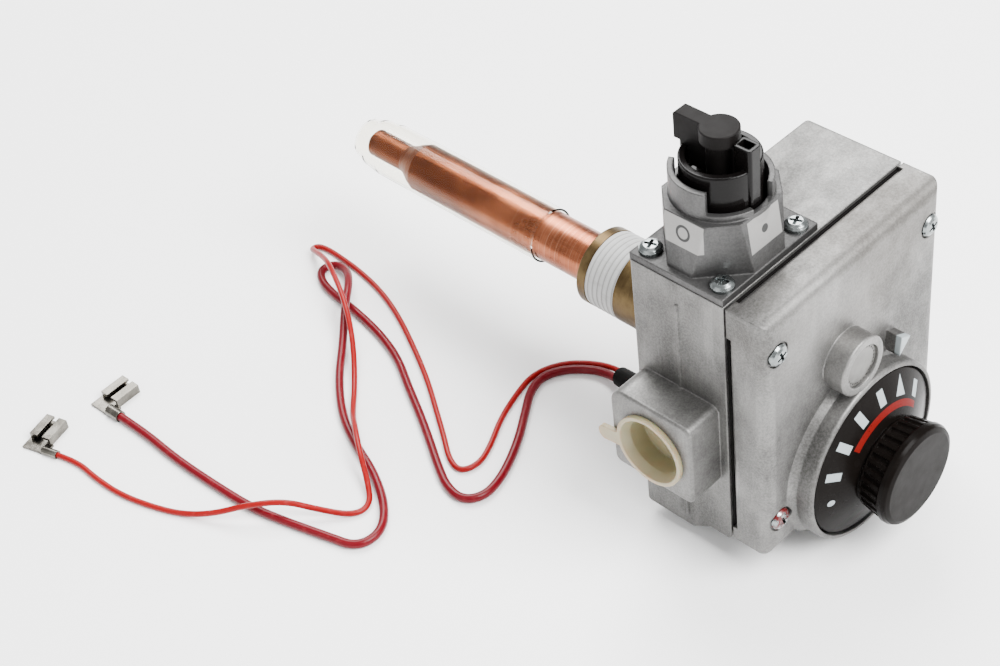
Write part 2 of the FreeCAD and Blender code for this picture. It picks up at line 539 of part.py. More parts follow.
# ================================================================ flame safety valve
def build_safety_valve():
    """Spring-closed valve disc with its stem and armature, held open by an electromagnet."""
    disc_top = CHAMBER_TOP - 0.3
    seal_foot = disc_top - 1.2
    disc_foot = seal_foot - (SAFETY_DISC - 1.2)
    keep("safety_seal", rod(SAFETY_DISC_R - 0.6, Vector(KNOB_X, KNOB_Y, seal_foot), Z, 1.2))
    disc = rod(SAFETY_DISC_R, Vector(KNOB_X, KNOB_Y, disc_foot), Z, SAFETY_DISC - 1.2)
    stem = rod(SAFETY_STEM_R, Vector(KNOB_X, KNOB_Y, SAFETY_STEM_BOTTOM), Z,
               disc_foot + 0.5 - SAFETY_STEM_BOTTOM)
    keep("safety_valve_disc", union([disc, stem]))
    armature_foot = SAFETY_STEM_BOTTOM - ARMATURE
    keep("safety_armature", rod(ARMATURE_R, Vector(KNOB_X, KNOB_Y, armature_foot), Z, ARMATURE))
    case_top = 1.6
    case = sleeve(MAGNET_R, MAGNET_R - 0.7, Vector(KNOB_X, KNOB_Y, CHAMBER_BOTTOM), Z,
                  case_top - CHAMBER_BOTTOM)
    lid = sleeve(MAGNET_R - 0.2, SAFETY_STEM_R + CLEAR, Vector(KNOB_X, KNOB_Y, case_top - 1.2), Z, 1.2)
    floor = rod(MAGNET_R - 0.2, Vector(KNOB_X, KNOB_Y, CHAMBER_BOTTOM), Z, 1.5)
    contact = rod(2.8, Vector(KNOB_X, KNOB_Y, CHAMBER_BOTTOM - 7.5), Z, 8)
    keep("magnet_case", union([case, lid, floor, contact]))
    yoke_foot = CHAMBER_BOTTOM + 1.5
    magnet_top = armature_foot - BUTTON_TRAVEL - CLEAR
    yoke = box((KNOB_X - 6, KNOB_X + 6), (KNOB_Y - 2.4, KNOB_Y + 2.4), (yoke_foot, yoke_foot + 4))
    legs = [rod(1.9, Vector(KNOB_X + dx, KNOB_Y, yoke_foot + 3), Z, magnet_top - yoke_foot - 3)
            for dx in (-4, 4)]
    keep("magnet_core", union([yoke] + legs))
    keep("magnet_coil", sleeve(3.7, 1.9, Vector(KNOB_X - 4, KNOB_Y, yoke_foot + 4), Z,
                               magnet_top - yoke_foot - 5.5))
    keep("safety_spring", coil_spring(3.4, 0.8, Vector(KNOB_X, KNOB_Y, case_top + 0.05), Z,
                                      disc_foot - case_top - 0.1, 5))


# ================================================================ inlet
def build_inlet():
    """Screen in the inlet passage and the shipping plug with its pull tab."""
    screen_x = INLET_FACE + INLET_MOUTH + INLET_THREAD + 0.6
    screen = rod(6.95, Vector(screen_x, INLET_Y, 0), X, 0.8)
    holes = []
    for ring_r, count in ((0, 1), (2.6, 6), (5.0, 12)):
        for step in range(count):
            angle = 2 * math.pi * step / count
            holes.append(rod(0.75, Vector(screen_x - 1, INLET_Y + ring_r * math.cos(angle),
                                          ring_r * math.sin(angle)), X, 3))
    keep("inlet_screen", screen.cut(holes))
    skirt_r = INLET_MOUTH_R - SLIP
    flange = rod(PLUG_FLANGE_R, Vector(INLET_FACE - PLUG_FLANGE, INLET_Y, 0), X, PLUG_FLANGE)
    skirt = rod(skirt_r, Vector(INLET_FACE - 0.2, INLET_Y, 0), X, PLUG_DEPTH + 0.2)
    tab = box((INLET_FACE - PLUG_FLANGE, INLET_FACE),
              (INLET_Y + PLUG_FLANGE_R - 2, INLET_Y + PLUG_FLANGE_R + PLUG_TAB),
              (-PLUG_TAB_WIDTH / 2, PLUG_TAB_WIDTH / 2))
    tab = soften(tab, 2.2, lambda e: along(e, X) and e.CenterOfMass.y > INLET_Y + PLUG_FLANGE_R)
    tab.rotate(Vector(INLET_FACE, INLET_Y, 0), X, -9)
    plug = union([flange, skirt, tab])
    floor_r = skirt_r - PLUG_WALL
    face = Vector(INLET_FACE - PLUG_FLANGE, INLET_Y, 0)
    plug = plug.cut([rod(floor_r, Vector(INLET_FACE - 3, INLET_Y, 0), X, PLUG_DEPTH + 1.8),
                     taper(skirt_r + 0.1, floor_r, face, X, PLUG_FLARE)])
    keep("inlet_plug", plug)


# ================================================================ temperature dial
def build_temperature_dial():
    """Dial with conical skirt and fluted grip, on the adjuster that bears on the lever."""
    centre = Vector(0, COVER_FACE, DIAL_Z)
    cone = DIAL_EDGE + DIAL_CONE
    bore = 20.0
    profile = [(ADJUSTER_R, 2.8), (DIAL_R - 0.5, 2.8), (DIAL_R, 3.3), (DIAL_R, DIAL_EDGE - 0.5),
               (DIAL_R - 0.5, DIAL_EDGE), (DIAL_HUB_R, cone), (DIAL_HUB_R + 0.9, cone + 0.8),
               (GRIP_R - 0.3, GRIP_FRONT - GRIP_BAND - 0.5), (GRIP_R, GRIP_FRONT - GRIP_BAND), (GRIP_R, GRIP_FRONT - 1.8),
               (GRIP_R - 0.6, GRIP_FRONT - 0.6), (GRIP_R - 2.0, GRIP_FRONT), (0, GRIP_FRONT), (0, bore),
               (ADJUSTER_R, bore)]
    dial = lathe(profile, centre, -Y)
    flutes = []
    foot = cone + 1.4
    run = GRIP_FRONT - GRIP_BAND - 0.3 - foot
    for step in range(GRIP_FLUTES):
        angle = 2 * math.pi * step / GRIP_FLUTES
        radial = Vector(math.cos(angle), 0, math.sin(angle))
        slant = radial * (GRIP_R - 0.3 - DIAL_HUB_R - 0.9) - Y * run
        flutes.append(rod(FLUTE_R, centre - Y * foot + radial * (DIAL_HUB_R + 1.1), slant, run))
    keep("temperature_dial", dial.cut(flutes))
    lever_front = LEVER_Y - LEVER_THICK
    screw = rod(ADJUSTER_R, centre - Y * bore, Y, COVER_BACK - COVER_FACE + bore)
    groove = Vector(0, COVER_FACE + 6.0, DIAL_Z)
    screw = screw.cut(sleeve(ADJUSTER_R + 1, ADJUSTER_R - 1.0, groove, Y, 1.6))
    nose = rod(2.0, Vector(0, COVER_BACK - 1, DIAL_Z), Y, lever_front - 0.5 - COVER_BACK + 1)
    keep("dial_adjuster", union([screw, nose]))
    keep("dial_seal", sleeve(ADJUSTER_R, ADJUSTER_R - 1.0, groove, Y, 1.6))


def build_thermostat():
    """Valve disc, spring, lever and snap disc between the dial's adjuster and the probe's rod."""
    seal_back = VALVE_SEAT_Y - 0.3
    keep("main_valve_seal", sleeve(VALVE_R, 2.4, Vector(0, seal_back - 1.0, 0), Y, 1.0))
    disc = rod(VALVE_R + 0.4, Vector(0, seal_back - 2.6, 0), Y, 1.6)
    boss = rod(2.4, Vector(0, seal_back - 1.2, 0), Y, 1.2)
    pin = rod(1.8, Vector(0, seal_back - 0.5, 0), Y, SNAP_DISC_Y - 0.5 - seal_back + 0.5)
    keep("main_valve", union([disc, boss, pin]))
    spring_foot = LEVER_Y + 0.8
    keep("main_valve_spring", coil_spring(4.6, 0.8, Vector(0, spring_foot, 0), Y,
                                          seal_back - 2.65 - VALVE_LIFT - spring_foot, 4))
    keep("snap_disc", sleeve(SNAP_DISC_R, 1.2, Vector(0, SNAP_DISC_Y, 0), Y, 0.35))
    half = LEVER_WIDTH / 2
    lever = box((-half, half), (LEVER_Y - LEVER_THICK, LEVER_Y), (DIAL_Z - 4, 5.5))
    pivot = Vector(-half, LEVER_Y - LEVER_THICK / 2, LEVER_PIVOT_Z)
    barrel = rod(LEVER_PIN_R + 1.0, pivot, X, LEVER_WIDTH)
    lever = union([lever, barrel]).cut(rod(LEVER_PIN_R + RUNNING, pivot - X, X, LEVER_WIDTH + 2))
    keep("thermostat_lever", lever)
    ear_y = (LEVER_Y - 3.4, VALVE_SEAT_Y)
    ears = []
    for side in (-1, 1):
        near = side * (half + CLEAR)
        far = side * (half + CLEAR + 1.4)
        ears.append(box((min(near, far), max(near, far)), ear_y, (LEVER_PIVOT_Z - 2.6, LEVER_PIVOT_Z + 2.6)))
    bridge = box((-half - CLEAR - 1.4, half + CLEAR + 1.4), (VALVE_SEAT_Y - 1.2, VALVE_SEAT_Y),
                 (LEVER_PIVOT_Z - 2.6, LEVER_PIVOT_Z - 1.2))
    pin_end = half + CLEAR + 1.4
    bracket = union(ears + [bridge]).cut([
        rod(LEVER_PIN_R, pivot - X * 3, X, LEVER_WIDTH + 6),
        rod(VALVE_R + 1.2, Vector(0, VALVE_SEAT_Y - 4.5, 0), Y, 5)])
    keep("lever_bracket", bracket)
    keep("lever_pin", rod(LEVER_PIN_R, Vector(-pin_end, pivot.y, pivot.z), X, 2 * pin_end))


def build_regulator():
    """Knurled cap, adjusting screw, spring, diaphragm and poppet of the pressure regulator."""
    front = COVER_FACE - REG_OUT
    cap = rod(REG_BORE_R - SLIP, Vector(REG_X, front + 0.9, REG_Z), Y, 2.0)
    notches = []
    for step in range(28):
        angle = 2 * math.pi * step / 28
        notches.append(rod(0.35, Vector(REG_X + 6.0 * math.cos(angle), front, REG_Z + 6.0 * math.sin(angle)),
                           Y, 1.5))
    keep("regulator_cap", cap.cut(notches))
    screw = rod(REG_BORE_R - SLIP, Vector(REG_X, front + 4.0, REG_Z), Y, 2.4)
    slot = box((REG_X - 4, REG_X + 4), (front + 3, front + 5), (REG_Z - 0.6, REG_Z + 0.6))
    keep("regulator_screw", screw.cut(slot))
    plate_front = COVER_BACK - 2.0
    keep("regulator_spring", coil_spring(3.4, 0.8, Vector(REG_X, front + 6.45, REG_Z), Y,
                                         plate_front - REG_LIFT - 0.05 - front - 6.45, 5))
    keep("regulator_diaphragm", sleeve(REG_BORE_R, 1.4, Vector(REG_X, COVER_BACK - 0.6, REG_Z), Y, 0.6))
    plate = rod(4.6, Vector(REG_X, plate_front, REG_Z), Y, 1.0)
    stem = rod(1.0, Vector(REG_X, plate_front, REG_Z), Y, 11.0)
    poppet = taper(1.2, 2.7, Vector(REG_X, plate_front + 9.0, REG_Z), Y, 2.5)
    keep("regulator_valve", union([plate, stem, poppet]))


# ================================================================ shank and probe
def build_shank():
    """Brass shank with its taped thread, pressed into the casting."""
    tape_start = SHANK_LENGTH - SHANK_END_BAND - TAPE_LENGTH
    shank = union([rod(SHANK_R, Vector(), Y, SHANK_LENGTH),
                   rod(SPIGOT_R, Vector(0, -SPIGOT_LENGTH, 0), Y, SPIGOT_LENGTH + 1)])
    shank = shank.cut([
        sleeve(SHANK_R + 1, SHANK_R - TAPE_THICK, Vector(0, tape_start, 0), Y, TAPE_LENGTH),
        rod(PROBE_R - 2.0, Vector(0, -SPIGOT_LENGTH - 1, 0), Y, SHANK_LENGTH),
        rod(PROBE_R, Vector(0, SHANK_LENGTH - 15, 0), Y, 16)])
    shank = soften(shank, 0.5, lambda e: abs(e.CenterOfMass.y - SHANK_LENGTH) < 0.01
                   and e.BoundBox.XLength > 2 * SHANK_R - 1)
    keep("shank", shank)
    pitch = TAPE_LENGTH / TAPE_TURNS
    profile = [(SHANK_R - TAPE_THICK, 0)]
    for turn in range(TAPE_TURNS):
        profile += [(SHANK_R - 0.25, turn * pitch), (SHANK_R - 0.03, (turn + 0.5) * pitch)]
    profile += [(SHANK_R - 0.25, TAPE_LENGTH), (SHANK_R - TAPE_THICK, TAPE_LENGTH)]
    keep("thread_tape", lathe(profile, Vector(0, tape_start, 0), Y))


def build_probe():
    """Copper tube with its necked tip, the low-expansion rod inside it, and the clear cap."""
    start = SHANK_LENGTH - 15
    inner = PROBE_R - PROBE_WALL
    tip_inner = PROBE_TIP_R - PROBE_WALL
    neck = PROBE_STRAIGHT + 8.5
    outline = [(inner, start), (PROBE_R, start), (PROBE_R, PROBE_STRAIGHT), (PROBE_R - 0.9, PROBE_STRAIGHT + 2.5),
               (PROBE_TIP_R + 0.7, neck - 2.0), (PROBE_TIP_R, neck), (PROBE_TIP_R, PROBE_TIP - 2.0),
               (PROBE_TIP_R - 2.0, PROBE_TIP), (0, PROBE_TIP), (0, PROBE_TIP - 2.5), (tip_inner, PROBE_TIP - 2.5),
               (tip_inner, neck), (inner, PROBE_STRAIGHT)]
    keep("probe_tube", lathe(outline, Vector(), Y))
    keep("thermostat_rod", rod(ROD_R, Vector(0, SNAP_DISC_Y + 0.7, 0), Y, PROBE_TIP - 2.6 - SNAP_DISC_Y - 0.7))
    cap_inner = CAP_R - CAP_WALL
    outline = [(cap_inner, CAP_START), (CAP_R, CAP_START), (CAP_R, CAP_END - 14), (CAP_R - 0.8, CAP_END - 7),
               (CAP_R - 2.4, CAP_END - 1.6), (CAP_R - 4.2, CAP_END), (0, CAP_END), (0, CAP_END - CAP_WALL),
               (CAP_R - 4.5, CAP_END - CAP_WALL), (CAP_R - 3.0, CAP_END - 2.2), (cap_inner - 0.8, CAP_END - 7.2),
               (cap_inner, CAP_END - 14)]
    keep("probe_cap", lathe(outline, Vector(), Y))


# ================================================================ leads
THICK_Z = FLOOR + THICK_D / 2 + 0.05
THIN_Z = FLOOR + THIN_D / 2 + 0.05
BOOT_AXIS = (BOOT_END - BOOT_START).normalize()
BOOT_SIDE = BOOT_AXIS.cross(Z).normalize()
THICK_EXIT = BOOT_END - BOOT_SIDE * 1.6
THIN_EXIT = BOOT_END + BOOT_SIDE * 1.9

# (x, y, height of the lead's underside above the floor)
THICK_ROUTE = [
    (-6.4, 57.2, 0), (-11.8, 63.4, 0), (-18.6, 66.6, 0), (-26.0, 64.8, 0), (-34.0, 59.4, 0),
    (-43.0, 53.3, 0), (-52.2, 48.2, 0), (-61.6, 44.3, 0), (-69.8, 43.2, 0), (-75.4, 47.4, 0), (-74.6, 55.6, 0),
    (-69.8, 64.6, 0), (-63.4, 75.2, 0), (-57.2, 86.0, 0), (-50.5, 98.8, 0), (-42.9, 112.0, 0), (-38.0, 127.0, 0),
    (-35.2, 143.5, 0), (-34.2, 156.2, 0), (-31.8, 165.0, 0), (-27.6, 169.3, 0), (-22.8, 167.0, 0.3),
    (-23.4, 159.6, 2.0), (-29.6, 150.8, 5.0), (-40.2, 141.6, 5.0), (-50.6, 131.8, 1.4), (-62.4, 121.4, 0), (-73.8, 107.2, 0),
    (-80.4, 93.2, 0), (-84.9, 79.4, 0), (-92.6, 65.4, 0), (-101.4, 57.6, 0), (-110.6, 59.2, 0), (-113.4, 69.4, 0),
    (-117.6, 84.0, 0), (-121.0, 98.2, 0), (-122.2, 114.6, 0), (-123.0, 135.0, 0), (-122.0, 154.6, 0)]
THIN_ROUTE = [
    (-2.4, 57.6, 0), (-9.0, 66.0, 0), (-19.2, 70.2, 0), (-29.8, 67.8, 0), (-41.4, 63.8, 0),
    (-52.0, 57.9, 0), (-60.4, 54.8, 0), (-66.8, 57.2, 0), (-65.4, 63.8, 0), (-59.2, 72.6, 0), (-52.2, 83.4, 0),
    (-43.8, 96.4, 0), (-36.4, 110.0, 0), (-27.6, 127.8, 0), (-22.0, 143.4, 0), (-19.2, 158.6, 0), (-18.4, 170.0, 0),
    (-18.3, 176.8, 0), (-19.5, 180.4, 0.3), (-22.6, 180.4, 1.0), (-24.4, 175.6, 3.4), (-26.8, 167.8, 6.6),
    (-31.0, 158.4, 10.2), (-40.6, 139.8, 10.2), (-49.6, 126.8, 4.8), (-61.0, 114.6, 0), (-72.2, 103.0, 2.2), (-78.2, 94.4, 6.0), (-85.0, 84.6, 6.0),
    (-90.2, 76.0, 2.0), (-95.4, 69.4, 0), (-102.0, 70.4, 0), (-108.6, 79.6, 2.2), (-115.0, 87.6, 6.0),
    (-123.8, 95.8, 6.0), (-131.4, 105.0, 2.0), (-137.2, 114.6, 0), (-141.6, 125.6, 0), (-144.9, 138.0, 0),
    (-145.6, 150.8, 0), (-145.0, 161.6, 0)]
THICK_END = (-122.6, 166.6)
THIN_END = (-147.4, 169.6)


def lead_points(start, route, end, z):
    """Route of a lead as points on its centreline."""
    points = [start, start + BOOT_AXIS * BOOT_RUN]
    points += [Vector(x, y, z + lift) for x, y, lift in route]
    points.append(Vector(end[0], end[1], z))
    return points


def lead(name, points, diameter):
    """Round tube along straight runs joined by tangent arcs."""
    edges = []
    here = points[0]
    smallest = 1e9
    for before, corner, after in zip(points, points[1:], points[2:]):
        back = before - corner
        ahead = after - corner
        shorter = min(back.Length, ahead.Length)
        turn = math.pi - back.getAngle(ahead)
        radius = 0.45 * shorter / math.tan(turn / 2)
        smallest = min(smallest, radius)
        back.normalize()
        ahead.normalize()
        first = corner + back * (0.45 * shorter)
        last = corner + ahead * (0.45 * shorter)
        bisector = back + ahead
        bisector.normalize()
        centre = corner + bisector * (radius / math.cos(turn / 2))
        middle = centre - bisector * radius
        edges.append(Part.LineSegment(here, first).toShape())
        edges.append(Part.Arc(first, middle, last).toShape())
        here = last
    edges.append(Part.LineSegment(here, points[-1]).toShape())
    path = Part.Wire(edges)
    direction = points[1] - points[0]
    section = Part.Wire(Part.makeCircle(diameter / 2, points[0], direction))
    tube = path.makePipeShell([section], True, False)
    expected = math.pi * diameter ** 2 / 4 * path.Length
    print(f"{name}: length {path.Length:.1f}, smallest radius {smallest:.1f}, "
          f"volume {tube.Volume:.1f} against {expected:.1f}")
    keep(name, tube)


def flag_terminal(name, points, diameter):
    """Flag terminal: crimp barrel in line with the lead's last run, folded receptacle to its right."""
    mouth = points[-1]
    last_run = mouth - points[-2]
    turn = math.degrees(math.atan2(-last_run.x, last_run.y))
    barrel_r = diameter / 2 + 0.55
    centre = Vector(0, 0, mouth.z)
    barrel = rod(barrel_r, centre, Y, 6.0).common(box((-5, 5), (-1, 8), (FLOOR, FLOOR + 20)))
    web = box((-barrel_r + 0.4, 3.6), (4.6, 14.4), (FLOOR, FLOOR + 0.8))
    shell = box((3.2, 13.0), (5.4, 13.8), (FLOOR, FLOOR + 3.4))
    shell = shell.cut([box((2.0, 14.0), (6.3, 12.9), (FLOOR + 0.8, FLOOR + 2.5)),
                       box((2.0, 14.0), (8.6, 10.6), (FLOOR + 2.0, FLOOR + 5))])
    terminal = union([barrel, web, shell])
    terminal.rotate(Vector(), Z, turn)
    terminal.translate(Vector(mouth.x, mouth.y, 0))
    keep(name, terminal)


def build_leads():
    """Rubber boot, the two leads on the floor and their flag terminals."""
    socket = rod(BOOT_R0, BOOT_START - Y * 4.0, Y, 4.5)
    axis = BOOT_END - BOOT_START
    length = axis.Length
    axis.normalize()
    grow = (BOOT_R0 - BOOT_R1) / length
    cone = taper(BOOT_R0 + 4 * grow, BOOT_R1, BOOT_START - axis * 4, axis, length + 4)
    cone = cone.common(box((-60, 60), (0, 90), (FLOOR - 5, 20)))
    keep("lead_boot", union([socket, cone]))
    thick = lead_points(THICK_EXIT, THICK_ROUTE, THICK_END, THICK_Z)
    thin = lead_points(THIN_EXIT, THIN_ROUTE, THIN_END, THIN_Z)
    lead("thick_lead", thick, THICK_D)
    lead("thin_lead", thin, THIN_D)
    flag_terminal("thick_lead_terminal", thick, THICK_D)
    flag_terminal("thin_lead_terminal", thin, THIN_D)


# ================================================================ build and export
build_main_body()
build_gasket()
build_front_cover()
build_screws()
build_knob_collar()
build_gas_cock()
build_reset_button()
build_safety_valve()
build_inlet()
build_temperature_dial()
build_thermostat()
build_regulator()
build_shank()
build_probe()
build_leads()

os.makedirs("parts", exist_ok=True)
for name, shape in parts.items():
    assert shape.isValid(), name
    print(f"{name}: {len(shape.Solids)} solid(s), {shape.Volume:.0f} mm3")
    shape.exportStep(f"parts/{name}.step")
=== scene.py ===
"""Looks of a water heater's gas control: finishes, printed marks, leads, light and camera.

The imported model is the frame, so every place below is in its own metres: the origin is on the
shank's axis in the plane of the casting's back face, -Y faces the dial and +Z is up.
"""
import logging
import math
from dataclasses import dataclass
from enum import Enum
from typing import Any, Optional, Sequence, Union

import bpy
from mathutils import Matrix, Vector


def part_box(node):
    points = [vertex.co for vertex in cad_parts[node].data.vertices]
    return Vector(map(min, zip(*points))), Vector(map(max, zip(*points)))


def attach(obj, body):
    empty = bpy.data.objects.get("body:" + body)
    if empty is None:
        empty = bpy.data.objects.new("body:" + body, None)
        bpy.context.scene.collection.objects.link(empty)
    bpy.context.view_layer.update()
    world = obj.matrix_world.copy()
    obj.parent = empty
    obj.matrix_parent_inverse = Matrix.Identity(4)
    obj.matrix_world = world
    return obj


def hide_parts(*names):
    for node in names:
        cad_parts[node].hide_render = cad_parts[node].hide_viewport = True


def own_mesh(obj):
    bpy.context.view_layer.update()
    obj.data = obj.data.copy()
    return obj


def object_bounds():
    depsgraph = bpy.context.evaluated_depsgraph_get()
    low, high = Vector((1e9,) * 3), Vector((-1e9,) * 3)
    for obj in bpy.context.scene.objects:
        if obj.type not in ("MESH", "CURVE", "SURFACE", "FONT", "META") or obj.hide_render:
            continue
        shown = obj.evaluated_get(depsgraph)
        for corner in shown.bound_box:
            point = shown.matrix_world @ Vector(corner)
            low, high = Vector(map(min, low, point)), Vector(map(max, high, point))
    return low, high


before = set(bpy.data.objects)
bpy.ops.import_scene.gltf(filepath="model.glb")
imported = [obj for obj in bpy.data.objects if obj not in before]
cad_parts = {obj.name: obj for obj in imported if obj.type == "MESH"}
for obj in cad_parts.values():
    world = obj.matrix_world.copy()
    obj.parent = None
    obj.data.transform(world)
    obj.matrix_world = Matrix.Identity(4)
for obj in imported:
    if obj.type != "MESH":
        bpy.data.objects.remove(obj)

LOG = logging.getLogger("gas_control")
CAD_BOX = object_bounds()
FLOOR = CAD_BOX[0][2]

Number = Union[int, float]
Colour = tuple[float, float, float]
Route = tuple[tuple[float, float, float], ...]


# ---------------------------------------------------------------- shader expressions
class Value:
    """A number or colour that flows through a material's nodes.

    Args:
        graph: the material that the socket belongs to.
        socket: the output socket that carries it.
    """

    def __init__(self, graph: "Graph", socket: bpy.types.NodeSocket) -> None:
        self.graph = graph
        self.socket = socket

    def _math(self, operation: str, *terms: Union["Value", Number]) -> "Value":
        """Adds one Math node and returns its result."""
        return self.graph.node("ShaderNodeMath", {"operation": operation}, dict(enumerate(terms)))

    def __add__(self, other: Union["Value", Number]) -> "Value":
        """Sum."""
        return self._math("ADD", self, other)

    __radd__ = __add__

    def __sub__(self, other: Union["Value", Number]) -> "Value":
        """Difference."""
        return self._math("SUBTRACT", self, other)

    def __rsub__(self, other: Number) -> "Value":
        """Difference from a number."""
        return self._math("SUBTRACT", other, self)

    def __mul__(self, other: Union["Value", Number]) -> "Value":
        """Product."""
        return self._math("MULTIPLY", self, other)

    __rmul__ = __mul__

    def __truediv__(self, other: Union["Value", Number]) -> "Value":
        """Quotient."""
        return self._math("DIVIDE", self, other)

    def __pow__(self, other: Number) -> "Value":
        """Power."""
        return self._math("POWER", self, other)

    def __abs__(self) -> "Value":
        """Distance from nought."""
        return self._math("ABSOLUTE", self)

    def below(self, limit: Union["Value", Number], soft: float = 0.0001) -> "Value":
        """1 where the value is under the limit, with an edge of the given softness.

        Args:
            limit: where the edge lies.
            soft: width of the edge, in the value's own units.

        Returns:
            A mask from 0 to 1.
        """
        return self.graph.clamp((limit - self) / soft + 0.5)

    def above(self, limit: Union["Value", Number], soft: float = 0.0001) -> "Value":
        """1 where the value is over the limit; see below."""
        return self.graph.clamp((self - limit) / soft + 0.5)

    def between(self, low: Number, high: Number, soft: float = 0.0001) -> "Value":
        """1 where the value is in a range; see below."""
        return self.above(low, soft) * self.below(high, soft)

    def either(self, other: "Value") -> "Value":
        """The larger of two masks."""
        return self._math("MAXIMUM", self, other)

    def hypot(self, other: "Value") -> "Value":
        """Length of two values at right angles."""
        return (self * self + other * other) ** 0.5

    def spread(self, low: Number, high: Number) -> "Value":
        """Stretches a 0 to 1 value over a range of numbers."""
        return self * (high - low) + low


Term = Union[Value, Number, Sequence[float]]


class Graph:
    """One procedural material.

    Args:
        name: the material's name.
    """

    def __init__(self, name: str) -> None:
        self.material = bpy.data.materials.new(name)
        self.material.use_nodes = True
        self.tree = self.material.node_tree
        self.tree.nodes.clear()
        coordinates = self.tree.nodes.new("ShaderNodeTexCoord")
        self.place = Value(self, coordinates.outputs["Object"])
        axes = self.tree.nodes.new("ShaderNodeSeparateXYZ")
        self.tree.links.new(coordinates.outputs["Object"], axes.inputs[0])
        self.x, self.y, self.z = (Value(self, axes.outputs[i]) for i in range(3))

    def node(self, kind: str, settings: Optional[dict[str, Any]] = None,
             inputs: Optional[dict[Union[str, int], Term]] = None, output: Union[str, int] = 0) -> Value:
        """Adds a node.

        Args:
            kind: Blender's type of node.
            settings: the node's own options, set before its sockets.
            inputs: what each socket gets, a value to link or a constant.
            output: which output to return.

        Returns:
            The chosen output.
        """
        made = self.tree.nodes.new(kind)
        for key, setting in (settings or {}).items():
            setattr(made, key, setting)
        for key, term in (inputs or {}).items():
            if isinstance(term, Value):
                self.tree.links.new(term.socket, made.inputs[key])
            else:
                made.inputs[key].default_value = term
        return Value(self, made.outputs[output])

    def clamp(self, value: Value) -> Value:
        """Keeps a value from 0 to 1."""
        return self.node("ShaderNodeClamp", None, {"Value": value})

    def noise(self, scale: Number, detail: Number = 4, stretch: Sequence[float] = (1, 1, 1),
              rough: float = 0.55, seed: float = 0.0) -> Value:
        """Fractal noise over the object.

        Args:
            scale: blotches to the metre.
            detail: octaves.
            stretch: how much finer the noise is along each axis.
            rough: weight of the finer octaves.
            seed: moves the pattern.

        Returns:
            Noise from 0 to 1, mostly near 0.5.
        """
        place = self.node("ShaderNodeMapping", None,
                          {"Vector": self.place, "Scale": tuple(stretch), "Location": (seed, seed, seed)})
        return self.node("ShaderNodeTexNoise", None,
                         {"Vector": place, "Scale": scale, "Detail": detail, "Roughness": rough}, "Fac")

    def contrast(self, value: Value, low: float, high: float) -> Value:
        """Stretches the part of a value between low and high over 0 to 1."""
        return self.node("ShaderNodeMapRange", {"interpolation_type": "SMOOTHSTEP"},
                         {"Value": value, "From Min": low, "From Max": high})

    def mix(self, factor: Value, first: Union[Value, Colour], second: Union[Value, Colour]) -> Value:
        """Blends two colours.

        Args:
            factor: how much of the second colour.
            first: colour where the factor is 0.
            second: colour where the factor is 1.

        Returns:
            The blend.
        """
        made = self.tree.nodes.new("ShaderNodeMix")
        made.data_type = "RGBA"
        self.tree.links.new(factor.socket, made.inputs["Factor"])
        for index, colour in ((6, first), (7, second)):
            if isinstance(colour, Value):
                self.tree.links.new(colour.socket, made.inputs[index])
            else:
                made.inputs[index].default_value = (*colour, 1.0)
        return Value(self, made.outputs[2])

    def bump(self, height: Value, distance: float, strength: float = 1.0,
             normal: Optional[Value] = None) -> Value:
        """Turns a height into a normal.

        Args:
            height: height from 0 to 1.
            distance: metres that 1 stands for.
            strength: weight of the effect.
            normal: the normal underneath.

        Returns:
            The new normal.
        """
        inputs: dict[Union[str, int], Term] = {"Height": height, "Distance": distance, "Strength": strength}
        if normal is not None:
            inputs["Normal"] = normal
        return self.node("ShaderNodeBump", None, inputs)

    def rounded(self, radius: float) -> Value:
        """A normal that rounds sharp edges by a radius in metres."""
        return self.node("ShaderNodeBevel", {"samples": 6}, {"Radius": radius})

    def surface(self, colour: Union[Value, Colour], roughness: Union[Value, float],
                metallic: Union[Value, float] = 0.0, normal: Optional[Value] = None,
                **constants: Any) -> bpy.types.Material:
        """Ends the material in one Principled shader.

        Args:
            colour: base colour.
            roughness: roughness.
            metallic: metallic share.
            normal: normal, if it isn't the mesh's own.
            constants: further sockets by name, with underscores for spaces.

        Returns:
            The finished material.
        """
        base: Term = colour if isinstance(colour, Value) else (*colour, 1.0)
        inputs: dict[Union[str, int], Term] = {
            "Base Color": base, "Roughness": roughness, "Metallic": metallic}
        if normal is not None:
            inputs["Normal"] = normal
        inputs.update({key.replace("_", " "): term for key, term in constants.items()})
        shader = self.node("ShaderNodeBsdfPrincipled", None, inputs)
        end = self.tree.nodes.new("ShaderNodeOutputMaterial")
        self.tree.links.new(shader.socket, end.inputs["Surface"])
        return self.material


